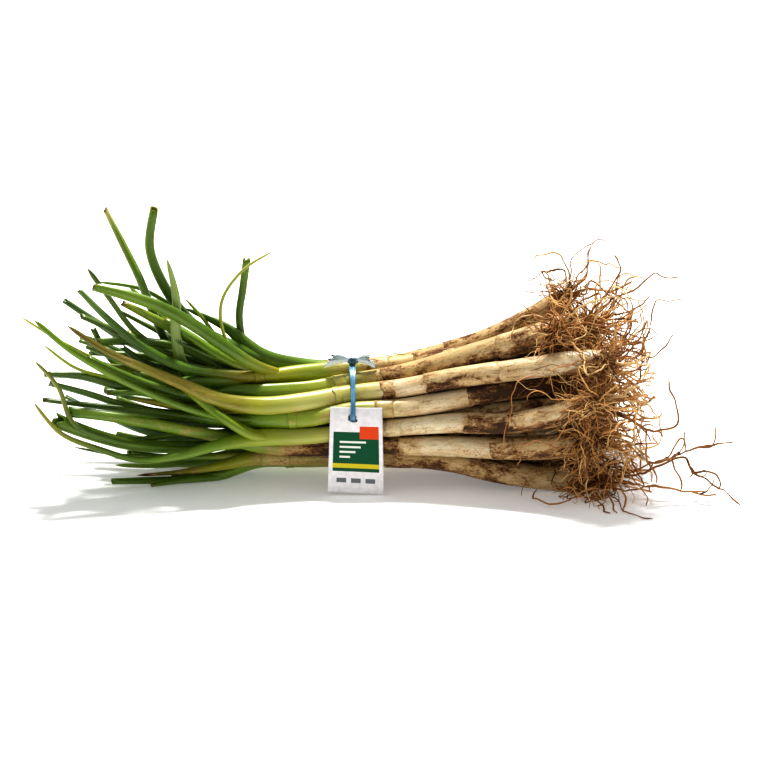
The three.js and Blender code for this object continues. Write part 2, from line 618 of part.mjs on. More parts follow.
for (let i = 0; i < ONION_COUNT; i++) {
  let solid = null;
  for (const chain of chains.filter((c) => c.onion === i)) {
    const grown = chain.kind === "stalk" ? 1 : 0; // a stalk's first span is its root plate
    const sides = grown ? STALK_SIDES : LEAF_SIDES;
    const piece = solidOf(limb(framesOf(chain.points).slice(grown), chain.radii.slice(grown), sides));
    solid = solid ? solid.add(piece) : piece;
  }
  addMesh(`onion_${label(i)}`, geometryOf(solid.trimByPlane([0, 0, 1], 0)), FINISH.onion);
}

// Random draws for one root, which don't depend on those of the others
function drawsFor(i, j) {
  let state = ((i * 61 + j * 17 + 5) * 2654435761) % 4294967296;
  return (low, high) => {
    state = (state * 1664525 + 1013904223) % 4294967296;
    return low + ((high - low) * state) / 4294967296;
  };
}

function unit(v) {
  const length = Math.hypot(...v);
  return v.map((c) => c / length);
}

const taken = []; // spans that a root has to keep clear of
for (const { onion, kind, points, radii } of chains)
  for (let k = 0; k + 1 < points.length; k++) {
    const part = k === 0 && kind === "stalk" ? "plate" : "body";
    taken.push({ onion, part, a: points[k], b: points[k + 1], r: Math.max(radii[k], radii[k + 1]) });
  }

// Whether a root's next span stays in the tangle and touches nothing. `room` is the share of the tangle
// that it may use.
function isClear(onion, a, b, r, first, room) {
  const sideways = Math.hypot(b[1], b[2] - BULB_END_Z);
  const reach = TANGLE.reach * (TANGLE.least + (1 - TANGLE.least) * room);
  if (b[2] < r || b[0] < TANGLE.back || b[0] > reach || sideways > TANGLE.radius * room) return false;
  const start = first ? a.map((v, c) => v + (b[c] - v) * OWN_STALK) : a;
  return taken.every((span) => {
    if (span.onion === onion && span.part !== "body") return true;
    const from = span.onion === onion ? start : a;
    if (Math.abs(span.a[0] - b[0]) > FAR && Math.abs(span.b[0] - b[0]) > FAR) return true;
    return Math.hypot(...nearest(from, b, span.a, span.b)[2]) > r + span.r + GAP;
  });
}

// Grows one root from its plate: it heads out of the bundle, wanders, and turns away from what it meets
function growRoot(i, j, foot, heading, away) {
  const random = drawsFor(i, j);
  const around = (2 * Math.PI * (j + random(0, 0.7))) / ROOTS_EACH;
  const slant = random(...ROOT_SLANT);
  const room = random(...ROOT_ROOM);
  const [hx, hy, hz] = heading;
  const side = unit([-hy, hx, 0]);
  const [sx, sy, sz] = side;
  const across = unit([hy * sz - hz * sy, hz * sx - hx * sz, hx * sy - hy * sx]);
  let way = [0, 1, 2].map((c) => heading[c] * Math.cos(slant) +
    (side[c] * Math.cos(around) + across[c] * Math.sin(around)) * Math.sin(slant));
  const points = [foot];
  for (let k = 0; k < ROOT_STEPS; k++) {
    const last = points[points.length - 1];
    let next = null;
    for (let t = 0; t < ROOT_TRIES && !next; t++) {
      const swing = ROOT_SWING.first + ROOT_SWING.more * t;
      const turned = unit(way.map((v, c) => v + away[c] * ROOT_SWING.outwards + random(-swing, swing)));
      if (k === 0 && turned[0] * hx + turned[1] * hy + turned[2] * hz < ROOT_SWING.ahead) continue;
      const step = ROOT_STEP * random(...ROOT_STRETCH);
      const tip = last.map((v, c) => v + turned[c] * step);
      if (isClear(i, last, tip, ROOT_R, k === 0, room)) next = [tip, turned];
    }
    if (!next) break;
    points.push(next[0]);
    way = next[1];
  }
  return points;
}

const rootSolid = (points) => solidOf(limb(framesOf(points), points.map(() => ROOT_R), ROOT_SIDES));

function takeRoot(onion, points) {
  points.slice(1).forEach((b, k) => taken.push({ onion, part: "root", a: points[k], b, r: ROOT_R }));
}

// Where an onion's roots start, and the way its stalk points there
function rootStart(stalk) {
  const [foot, base] = stalk.points;
  const heading = unit(foot.map((v, c) => v - base[c]));
  return [foot, heading, foot.map((v, c) => v - heading[c] * ROOT_SUNK)];
}

const stalks = chains.filter((chain) => chain.kind === "stalk");

// The stray roots come first, so that the others keep clear of them
const strays = stalks.map((stalk, i) => {
  const sunk = rootStart(stalk)[2];
  const routes = STRAY_ROOTS[FRONT_ONIONS[i]?.name] ?? [];
  const onTable = ([x, y, z]) => [x, y, Math.max(z, ROOT_R * STRAY_LOWEST)];
  return routes.map((route) => [sunk, ...route.slice(1).map(seen)].map(onTable));
});
strays.forEach((routes, i) => routes.forEach((points) => takeRoot(i, points)));

stalks.forEach((stalk, i) => {
  const [foot, heading, sunk] = rootStart(stalk);
  const away = unit([ROOT_BACK, foot[1], foot[2] - BULB_END_Z]);
  const [end, rim] = framesOf(stalk.points);
  const under = { ...rim, p: rim.p.clone().addScaledVector(rim.along, -GAP) };
  let solid = solidOf(limb([end, under], [stalk.radii[0], stalk.radii[1]], STALK_SIDES));
  for (const route of strays[i]) solid = solid.add(rootSolid(route));
  for (let j = 0; j < ROOTS_EACH; j++) {
    const points = growRoot(i, j, sunk, heading, away);
    if (points.length < 3) continue;
    takeRoot(i, points);
    solid = solid.add(rootSolid(points));
  }
  addMesh(`roots_${label(i)}`, geometryOf(solid.trimByPlane([0, 0, 1], 0)), FINISH.root);
});

// The tie: a flat ribbon round the bundle, whose knot lies on top with two fanned ends.
// `turn` goes round the bundle in degrees, from the front upwards.
function ribbonRadius(turn) {
  const share = (t) => Math.min(Math.max(t, 0), 1);
  const past = turn - CARD_TURN;
  const bulge = share(past / BULGE.start) * share((BULGE.length - past) / BULGE.end);
  return BUNDLE_R + GAP + RIBBON.thick / 2 + RIBBON.bulge * bulge;
}

function onRing(turn, radius) {
  const [y, up] = outwards(turn, radius);
  return [y, WAIST_Z + up];
}

function tieRing() {
  const { steps } = RIBBON;
  const radius = 10; // of the torus whose points are moved into place
  const geometry = new THREE.TorusGeometry(radius, 1, 4, steps);
  const position = geometry.attributes.position;
  for (let i = 0; i < position.count; i++) {
    const [x, y, z] = [position.getX(i), position.getY(i), position.getZ(i)];
    const turn = (Math.round((Math.atan2(y, x) * steps) / (2 * Math.PI)) * 360) / steps;
    const outward = Math.hypot(x, y) - radius;
    const rise = outward > 0.5 || z > 0.5 ? 1 : -1;
    const across = outward > 0.5 || z < -0.5 ? 1 : -1;
    const [py, pz] = onRing(turn, ribbonRadius(turn < 0 ? turn + 360 : turn) + (rise * RIBBON.thick) / 2);
    position.setXYZ(i, toX(WAIST_U) + (across * RIBBON.width) / 2, py, pz);
  }
  return solidOf(geometry);
}

// One flat blade between two points, widening from one half-width to the other
function blade([a, b], [w0, w1]) {
  const geometry = new THREE.BoxGeometry(1, 1, 1, 3, 1, 1);
  const position = geometry.attributes.position;
  for (let i = 0; i < position.count; i++) {
    const t = position.getX(i) + 0.5;
    const half = (w0 + (w1 - w0) * t) * 2 * position.getZ(i);
    const [x, y, z] = a.map((v, c) => v + (b[c] - v) * t);
    const arch = FAN.arch * Math.sin(Math.PI * t);
    position.setXYZ(i, x, y + RIBBON.thick * position.getY(i) - FAN.lean * half, z + half + arch);
  }
  return solidOf(geometry);
}

function tie() {
  const x = toX(WAIST_U);
  const [y, z] = onRing(KNOT_TURN, BUNDLE_R + GAP + KNOT_LIFT);
  const knot = limb(framesOf(KNOT.map(([dx]) => [x + dx, y, z])), KNOT.map(([, r]) => r), KNOT_SIDES);
  const tip = ({ reach, forward, rise }) => [x + reach, y + forward, z + rise];
  const left = blade([tip(FAN_LEFT), [x - FAN.start, y, z]], [FAN_LEFT.half, FAN.startHalf]);
  const right = blade([[x + FAN.start, y, z], tip(FAN_RIGHT)], [FAN.startHalf, FAN_RIGHT.half]);
  return tieRing().add(solidOf(knot)).add(left).add(right);
}

function card() {
  const last = CARD_ROWS.length - 1;
  const geometry = new THREE.BoxGeometry(CARD.width, CARD.thick, 1, 1, 1, last);
  const position = geometry.attributes.position;
  for (let i = 0; i < position.count; i++) {
    const z = CARD_ROWS[Math.round((position.getZ(i) + 0.5) * last)];
    position.setXYZ(i, CARD_X + position.getX(i), ramp(CARD_BEND, z) + position.getY(i), z);
  }
  const holeZ = (CARD.holeTop + CARD.holeBottom) / 2;
  const hole = new THREE.BoxGeometry(CARD.holeWidth, CARD.holeWidth, CARD.holeTop - CARD.holeBottom);
  hole.translate(toX(WAIST_U), ramp(CARD_BEND, holeZ), holeZ);
  return solidOf(geometry).subtract(solidOf(hole));
}

addMesh("tie", geometryOf(tie()), FINISH.tie);
addMesh("tag", geometryOf(card()), FINISH.tag);

// The origin is the middle of the bunch's footprint, on the table
const box = new THREE.Box3().setFromObject(bunch);
const middle = box.getCenter(new THREE.Vector3());
bunch.position.set(-middle.x, -middle.y, -box.min.z);

export default bunch;
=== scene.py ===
import json
import math

import bpy
import numpy as np
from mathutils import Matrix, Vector

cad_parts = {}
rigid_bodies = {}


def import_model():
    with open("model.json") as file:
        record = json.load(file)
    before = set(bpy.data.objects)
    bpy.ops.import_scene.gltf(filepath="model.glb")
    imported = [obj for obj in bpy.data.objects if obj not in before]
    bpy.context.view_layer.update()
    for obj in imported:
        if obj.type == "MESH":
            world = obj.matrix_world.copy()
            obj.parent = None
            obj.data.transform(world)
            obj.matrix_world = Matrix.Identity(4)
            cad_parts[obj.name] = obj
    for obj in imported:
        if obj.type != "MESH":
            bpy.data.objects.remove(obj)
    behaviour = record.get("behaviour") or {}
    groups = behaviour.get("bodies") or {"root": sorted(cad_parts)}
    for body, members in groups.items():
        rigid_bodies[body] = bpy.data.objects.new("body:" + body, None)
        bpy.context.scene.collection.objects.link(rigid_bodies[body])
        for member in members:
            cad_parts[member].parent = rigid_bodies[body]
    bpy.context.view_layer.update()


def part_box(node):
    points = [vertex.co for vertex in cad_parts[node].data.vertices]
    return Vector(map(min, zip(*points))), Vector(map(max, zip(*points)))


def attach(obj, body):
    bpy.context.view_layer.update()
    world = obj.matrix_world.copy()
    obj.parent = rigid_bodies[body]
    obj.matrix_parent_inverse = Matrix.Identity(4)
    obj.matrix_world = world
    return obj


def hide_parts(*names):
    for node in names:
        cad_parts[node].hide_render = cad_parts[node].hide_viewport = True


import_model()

MM = 0.001

# Driving dimensions of the layout, in millimetres
BULB_R = 10.6
WAIST_R = 7.3
NECK_R = 6.6
BUNDLE_R = 47
WAIST_Z = 57
BULB_END_Z = 77
CLEAR = 0.5
SINK = 0.5
PLATE = 4
GAP = 0.35
ROOT_R = 0.9
ROOTS_EACH = 6
ROOT_STEPS = 4
ROOT_STEP = 21
ROOT_TRIES = 20
TANGLE_BACK, TANGLE_REACH, TANGLE_RADIUS = 128, 243, 124
SETTLE_PASSES = 320
SETTLE_REFRESH = 8
KNOT_TURN = 80
CARD_TURN = 10
RIBBON_WIDTH, RIBBON_THICK, RIBBON_BULGE = 5.5, 0.8, 2.6
CARD_WIDTH, CARD_THICK = 46, 0.8
CARD_TOP, CARD_BOTTOM, HOLE_TOP, HOLE_BOTTOM, HOLE_WIDTH = 76.5, 2, 71, 64.3, 9
CARD_BEND = [[2, -51.5], [40, -50], [57, -49.3], [64.3, -48.5], [71, -46.9], [76.5, -44.6]]

# Front view: u runs along the bunch, v down the view, depth is Y
UNIT = 0.86
MID_U = 381.5
FLOOR_V = 476
TILT = math.radians(18)
WAIST_U = 353


def to_x(u):
    return (u - MID_U) * UNIT


CARD_X = to_x(356.5)


def seen(point):
    u, v, depth = point
    up = (FLOOR_V - v) * UNIT
    return [to_x(u), depth, (up - depth * math.sin(TILT)) / math.cos(TILT)]


class Draws:
    """Random draws that come out the same on every run"""

    def __init__(self, state):
        self.state = state

    def __call__(self, low=0.0, high=1.0):
        self.state = (self.state * 1664525 + 1013904223) % 4294967296
        return low + ((high - low) * self.state) / 4294967296


draw = Draws(20260)

FRONT_ONIONS = [
    {
      "name": "crown",
      "stalk": [[569, 298, 10], [550, 309, 8], [525, 324, 8], [495, 338, 9], [440, 352, 15], [WAIST_U, 362, 18], [300, 360, 8],
        [262, 350, 0], [245, 339, 2], [232, 325, 6], [222, 315, 10], [205, 309, 14], [188, 303, 20]],
      "leaf": [2.9, 1.4],
      "leaves": [
        { "route": [[275, 355, 10], [256, 349, 15], [243, 339, 18], [239, 325, 18], [241, 300, 18], [247, 256, 18]], "r": [4, 3.1, 2.7] },
        { "route": [[272, 356, 2], [243, 347, 8], [225, 340, 10], [205, 317, 12], [186, 296, 12]], "r": [3.4, 1.6, 0.9] },
        { "route": [[285, 358, 2], [258, 352, -6], [232, 340, -8], [210, 331, -6], [190, 321, -2], [165, 310, 4]], "r": [5.5, 4.6, 2.4] },
      ],
    },
    {
      "name": "yellow",
      "stalk": [[588, 328, -8], [560, 336, -8], [512, 350, -8], [440, 361, -6], [WAIST_U, 368, 2], [300, 374, -9],
        [262, 377, -17], [240, 375, -24], [220, 373, -28], [200, 370, -32], [180, 365, -36], [160, 356, -40],
        [130, 337, -44], [105, 313, -45], [83, 291, -44]],
      "leaf": [4.6, 2.9],
      "leaves": [
        { "route": [[290, 372, -12], [262, 365, -24], [245, 356, -30], [228, 345, -34], [200, 326, -37], [170, 309, -38],
          [135, 296, -38], [97, 286, -36]], "r": [5.6, 4.8, 3.9] },
        { "route": [[285, 374, -12], [258, 369, -16], [240, 364, -20], [215, 350, -23], [190, 333, -22], [168, 318, -16]], "r": [5, 4.2, 2.6] },
        { "route": [[285, 376, -14], [245, 381, -20], [215, 383, -24], [192, 385, -24], [160, 381, -20], [135, 372, -16]], "r": [6, 5, 1.6] },
        { "route": [[285, 370, -10], [262, 364, -20], [237, 350, -27], [228, 337, -27], [221, 315, -20], [226, 290, -8],
          [245, 266, 2], [262, 251, 7], [275, 248, 8]], "r": [3, 1.5, 0.8] },
      ],
    },
    {
      "name": "slim",
      "stalk": [[556, 325, -33], [538, 330, -32], [500, 340, -27], [441, 354, -18], [WAIST_U, 374, -13], [300, 387, -22],
        [262, 391, -28], [220, 392, -26], [180, 396, -20], [140, 391, -27], [100, 382, -36], [65, 374, -43], [48, 376, -45]],
      "leaf": [4, 3.4],
      "leaves": [
        { "route": [[265, 391, -26], [232, 390, -20], [200, 384, -17], [183, 366, -19], [178, 335, -22], [179, 300, -23],
          [170, 260, -20]], "r": [4.5, 3.6, 1] },
        { "route": [[265, 391, -24], [220, 391, -18], [180, 391, -14], [150, 387, -18], [125, 380, -26], [90, 371, -38],
          [65, 360, -44], [47, 344, -45]], "r": [3.4, 1.8, 1.1] },
      ],
    },
    {
      "name": "russet",
      "stalk": [[604, 357, -58], [560, 358, -52], [500, 365, -42], [440, 372, -33], [WAIST_U, 387, -25], [300, 400, -34],
        [258, 405, -42], [235, 403, -47], [215, 398, -51], [180, 383, -54], [140, 366, -57], [92, 343, -60], [71, 327, -60]],
      "leaf": [5, 1.9],
      "leaves": [
        { "route": [[285, 402, -36], [258, 409, -38], [232, 411, -38], [200, 408, -34], [165, 403, -32], [131, 398, -32]], "r": [5.5, 3.8, 1.6] },
      ],
    },
    {
      "name": "dark",
      "stalk": [[583, 386, -30], [533, 387, -32], [500, 390, -33], [440, 397, -34], [WAIST_U, 404, -34], [300, 416, -32],
        [262, 419, -31], [220, 421, -28], [185, 417, -26], [130, 410, -35], [80, 404, -45], [47, 400, -48]],
      "leaf": [3.6, 2.6],
      "leaves": [
        { "route": [[270, 418, -32], [240, 414, -36], [195, 404, -38], [150, 387, -43], [110, 368, -50], [75, 347, -53],
          [39, 317, -54]], "r": [4.4, 3.1, 1.9] },
        { "route": [[270, 417, -28], [235, 410, -26], [190, 398, -27], [150, 383, -32], [110, 364, -40], [60, 338, -47],
          [25, 316, -48]], "r": [3.2, 1.7, 0.9] },
        { "route": [[270, 419, -26], [220, 414, -18], [160, 410, -22], [115, 401, -36], [85, 391, -44], [51, 382, -48]], "r": [4.4, 3.3, 2] },
      ],
    },
    {
      "name": "bright",
      "stalk": [[594, 399, -78], [570, 408, -74], [540, 417, -67], [500, 421, -58], [440, 421, -46], [WAIST_U, 430, -39],
        [300, 435, -42], [265, 436, -47], [240, 440, -52], [200, 448, -59], [170, 457, -63], [140, 458, -65],
        [110, 450, -68], [75, 437, -71], [55, 424, -73], [38, 401, -72]],
      "leaf": [3.9, 1.5],
      "leaves": [
        { "route": [[290, 435, -43], [256, 433, -50], [240, 425, -54], [225, 414, -54], [210, 402, -49], [192, 391, -38],
          [176, 378, -30]], "r": [6.2, 5.6, 2.4] },
        { "route": [[280, 434, -38], [235, 415, -20], [205, 392, -10], [190, 368, -10], [186, 335, -14], [183, 288, -14]], "r": [4, 3, 1.2] },
      ],
    },
    {
      "name": "pale",
      "stalk": [[592, 437, -72], [575, 441, -70], [541, 447, -64], [487, 447, -52], [440, 445, -42], [WAIST_U, 445, -35],
        [300, 447, -31], [262, 444, -30], [225, 436, -38], [175, 427, -49], [130, 418, -57], [90, 413, -62], [72, 411, -63]],
      "leaf": [4.6, 3.8],
      "leaves": [
        { "route": [[270, 445, -28], [230, 444, -32], [190, 449, -44], [150, 446, -53], [110, 438, -61], [78, 424, -67],
          [66, 403, -69], [60, 376, -69], [54, 365, -68], [39, 361, -66]], "r": [4.6, 3, 1.3] },
        { "route": [[270, 447, -26], [225, 446, -28], [180, 448, -36], [140, 446, -46], [100, 437, -57], [57, 421, -65]], "r": [4.8, 4.3, 5] },
      ],
    },
    {
      "name": "low",
      "stalk": [[598, 481.5, -40], [579, 481, -39], [540, 478, -38], [502, 473, -36], [441, 461, -30], [WAIST_U, 456, -22],
        [300, 458, -20], [262, 459, -20], [240, 464, -20], [210, 472, -18], [170, 478, -15], [138, 480, -10]],
      "leaf": [2.9, 1.2],
      "leaves": [
        { "route": [[275, 458, -17], [245, 457, -12], [200, 458, -14], [165, 458, -18], [130, 453, -24]], "r": [5, 3.4, 2] },
        { "route": [[275, 457, -14], [230, 458, -6], [170, 457, -20], [120, 455, -38], [76, 447, -46]], "r": [3.6, 1.8, 0.8] },
      ],
    },
]

HIDDEN_ONIONS = [
    { "turn": -78, "out": 40 },
    { "turn": -102, "out": 41, "leaves": [
      { "route": [[285, 458, 12], [245, 464, 20], [210, 468, 24], [172, 469, 26]], "r": [5, 4, 2.4] },
    ] },
    { "turn": -126, "out": 40 },
    { "turn": -150, "out": 39 },
    { "turn": 186, "out": 39 },
    { "turn": 162, "out": 39, "leaves": [
      { "route": [[285, 372, 36], [240, 352, 34], [205, 330, 28], [180, 306, 22], [160, 275, 19], [150, 243, 18], [155, 207, 18]], "r": [5.4, 4.3, 4] },
      { "route": [[285, 370, 40], [240, 350, 42], [200, 318, 38], [168, 291, 34], [135, 277, 32], [101, 273, 30]], "r": [4, 2, 1.2] },
    ] },
    { "turn": 139, "out": 39, "leaves": [
      { "route": [[285, 365, 26], [240, 362, 24], [195, 352, 20], [165, 333, 14], [153, 300, 11], [136, 262, 11], [108, 206, 12]], "r": [5, 4, 2.6] },
    ] },
    { "turn": 8, "out": 23, "leaves": [
      { "route": [[285, 395, -12], [240, 378, -10], [205, 351, -8], [170, 342, -12], [125, 336, -15], [97, 338, -16]], "r": [5, 3.4, 2.2] },
    ] },
    { "turn": 62, "out": 22, "leaves": [
      { "route": [[285, 385, -4], [235, 372, 2], [190, 358, 0], [142, 332, -8], [112, 295, -15], [91, 266, -16]], "r": [4.4, 2.3, 1.8] },
    ] },
    { "turn": 112, "out": 23, "leaves": [
      { "route": [[285, 385, 12], [235, 368, 14], [190, 340, 8], [150, 318, 0], [124, 305, -4]], "r": [5.6, 5, 2.2] },
    ] },
    { "turn": 165, "out": 22 },
    { "turn": -145, "out": 23 },
    { "turn": -95, "out": 22, "leaves": [
      { "route": [[285, 420, 4], [235, 405, 6], [170, 385, 4], [110, 352, -2], [93, 322, -6]], "r": [4.6, 3, 2.2] },
    ] },
    { "turn": -42, "out": 23 },
    { "turn": 20, "out": 7 },
    { "turn": 140, "out": 7.5 },
    { "turn": -100, "out": 7.5 },
]

STRAY_ROOTS = {
    "pale": [[[592, 437, -72], [628, 452, -72], [652, 462, -68], [668, 458, -64], [700, 447, -60], [731, 442, -58]]],
    "low": [
      [[598, 481, -40], [640, 473, -54], [679, 456, -60], [692, 472, -66], [714, 487, -74], [737, 504, -83]],
      [[598, 481, -40], [636, 484, -58], [660, 487, -62], [689, 491, -66], [714, 494, -70]],
    ],
    "bright": [[[594, 399, -78], [628, 420, -84], [655, 432, -84], [672, 424, -82], [671, 402, -80], [665, 380, -78]]],
}


def smooth_line(points, per_span=12):
    """A smooth line through the points, as rows of x, y, z and the length so far"""
    last = len(points) - 1
    line = []
    for i in range(last):
        a, b, c, d = (points[min(max(k, 0), last)] for k in (i - 1, i, i + 1, i + 2))
        for k in range(per_span):
            t = k / per_span
            line.append([0.5 * (2 * b[j] + (c[j] - a[j]) * t + (2 * a[j] - 5 * b[j] + 4 * c[j] - d[j]) * t * t
                                + (3 * b[j] - a[j] - 3 * c[j] + d[j]) * t * t * t) for j in range(3)])
    line.append(list(points[-1]))
    length = 0.0
    for i, p in enumerate(line):
        if i:
            length += math.dist(p, line[i - 1][:3])
        p.append(length)
    return line


def point_at(line, length):
    i = 1
    while i < len(line) - 1 and line[i][3] < length:
        i += 1
    a, b = line[i - 1], line[i]
    t = min(max((length - a[3]) / max(b[3] - a[3], 1e-9), 0), 1)
    return [a[j] + (b[j] - a[j]) * t for j in range(3)]


def ramp(stops, x):
    i = 1
    while i < len(stops) - 1 and stops[i][0] < x:
        i += 1
    (x0, y0), (x1, y1) = stops[i - 1], stops[i]
    return y0 + (y1 - y0) * min(max((x - x0) / (x1 - x0), 0), 1)


def length_at_x(line, x):
    for p in line:
        if p[0] <= x:
            return p[3]
    return line[-1][3]


def js_round(x):
    return math.floor(x + 0.5)


class Chain:
    """Centre line of a stalk or a leaf: points, the radius at each, and where it is joined to its plant"""

    def __init__(self, onion, kind, points, radii, parent=None):
        self.onion, self.kind, self.parent = onion, kind, parent
        self.points = np.array(points, float)
        self.radii = np.array(radii, float)
        self.joint = foot_on(parent.points, self.points[0]) if parent else None


def nearest(p, q, r, s):
    """Nearest points of two sets of segments: how far along each, and the vector between them"""
    d1, d2, w = q - p, s - r, p - r
    a, e, f = (d1 * d1).sum(-1), (d2 * d2).sum(-1), (d2 * w).sum(-1)
    c, b = (d1 * w).sum(-1), (d1 * d2).sum(-1)
    denominator = a * e - b * b
    safe = np.where(denominator > 1e-9, denominator, 1.0)
    t1 = np.where(denominator > 1e-9, np.clip((b * f - c * e) / safe, 0, 1), 0.5)
    t2 = np.clip((b * t1 + f) / e, 0, 1)
    t1 = np.clip((b * t2 - c) / a, 0, 1)
    return t1, t2, w + d1 * t1[..., None] - d2 * t2[..., None]


def foot_on(points, p):
    """Place on a polyline nearest to a point, as a span number plus a fraction"""
    point = np.array(p, float)[None]
    t, _, gap = nearest(points[:-1], points[1:], point, point + [[0, 0, 1e-3]])
    k = int(np.argmin(np.linalg.norm(gap, axis=-1)))
    return k + float(t[k])


def stalk_chain(onion, points, bulb_r, waist_r, leaf):
    leaf_r, end_r = leaf
    line = smooth_line(points)
    total = line[-1][3]
    waist = length_at_x(line, to_x(WAIST_U))
    neck = waist + 80
    leaf_at = min(neck + 45, total - 20)
    radii = [[0, bulb_r * 0.5], [PLATE, bulb_r * 0.66], [PLATE + 4, bulb_r * 0.9], [PLATE + 12, bulb_r],
             [38, bulb_r * 0.98], [waist * 0.62, bulb_r * 0.87], [waist, waist_r], [neck, NECK_R],
             [leaf_at, leaf_r], [total, end_r]]
    places = [0, PLATE, PLATE + 4, PLATE + 12, 38]
    for start, end, step in ((38, waist, 42), (waist, neck, 40), (neck, total, 34)):
        n = max(1, js_round((end - start) / step))
        places += [start + ((end - start) * k) / n for k in range(1, n + 1)]
    return Chain(onion, "stalk", [point_at(line, s) for s in places], [ramp(radii, s) for s in places])


def leaf_chain(onion, parent, points, size):
    base_r, mid_r, end_r = size
    line = smooth_line(points)
    total = line[-1][3]
    n = max(4, js_round(total / 35))
    places = [(total * k) / n for k in range(n + 1)]
    radii = [[0, base_r], [total * 0.35, mid_r], [total * 0.75, mid_r * 0.7 + end_r * 0.3], [total, end_r]]
    return Chain(onion, "leaf", [point_at(line, s) for s in places], [ramp(radii, s) for s in places], parent)


def hidden_route(turn, out):
    a = math.radians(turn)
    dy, dz = -out * math.cos(a), out * math.sin(a)

    def place(u, z, spread, jitter=0):
        y = dy * spread + draw(-jitter, jitter)
        return [to_x(u), y, z + dz * spread + draw(-jitter, jitter)]

    end_u = draw(566, 598)
    return [place(end_u, BULB_END_Z, 1.8, 4), place(530, 75, 1.6, 2), place(440, 66, 1.2),
            place(WAIST_U, WAIST_Z, 1), place(300, 58, 1.02), place(262, 61, 1.08)]


def fan_route(neck, turn, out, end_u):
    a = math.radians(turn)
    dy, dz = -out * math.cos(a), out * math.sin(a)
    sideways, upwards, bow = draw(-26, 26), draw(-22, 34), draw(-10, 10)
    lift = 30 * (1 + (dz / 39) * 1.15) if dz < 0 else 30
    route = [neck]
    for t in (0.33, 0.66, 1):
        z = 61 + lift * t + dz * (1.08 + 0.75 * t) + upwards * t * t + bow * math.sin(math.pi * t)
        route.append([to_x(262 + (end_u - 262) * t), dy * (1.08 + 0.95 * t) + sideways * t * t, max(z, 5)])
    return route


def make_chains():
    chains = []
    for i, plant in enumerate(FRONT_ONIONS):
        bulb_r, waist_r = BULB_R * draw(0.94, 1.06), WAIST_R * draw(0.95, 1.03)
        parent = stalk_chain(i, [seen(p) for p in plant["stalk"]], bulb_r, waist_r, plant["leaf"])
        chains.append(parent)
        chains += [leaf_chain(i, parent, [seen(p) for p in leaf["route"]], leaf["r"]) for leaf in plant["leaves"]]
    for k, plant in enumerate(HIDDEN_ONIONS):
        i, turn, out, leaves = len(FRONT_ONIONS) + k, plant["turn"], plant["out"], plant.get("leaves", [])
        body = hidden_route(turn, out)
        neck = body[-1]
        main = body[:-1] + fan_route(neck, turn, out, draw(60, 120))
        bulb_r, waist_r = BULB_R * draw(0.88, 1.04), WAIST_R * draw(0.92, 1)
        parent = stalk_chain(i, main, bulb_r, waist_r, [draw(3.2, 4.4), draw(1, 3.2)])
        chains.append(parent)
        chains += [leaf_chain(i, parent, [seen(p) for p in leaf["route"]], leaf["r"]) for leaf in leaves]
        for _ in range(len(leaves), 2):
            route = [body[-2]] + fan_route(neck, turn, out, draw(70, 180))
            chains.append(leaf_chain(i, parent, route, [draw(4.4, 5.4), draw(2.8, 4), draw(0.9, 2.8)]))
    return chains


def card_bend_at(z):
    xs, ys = zip(*CARD_BEND)
    return np.interp(z, xs, ys)


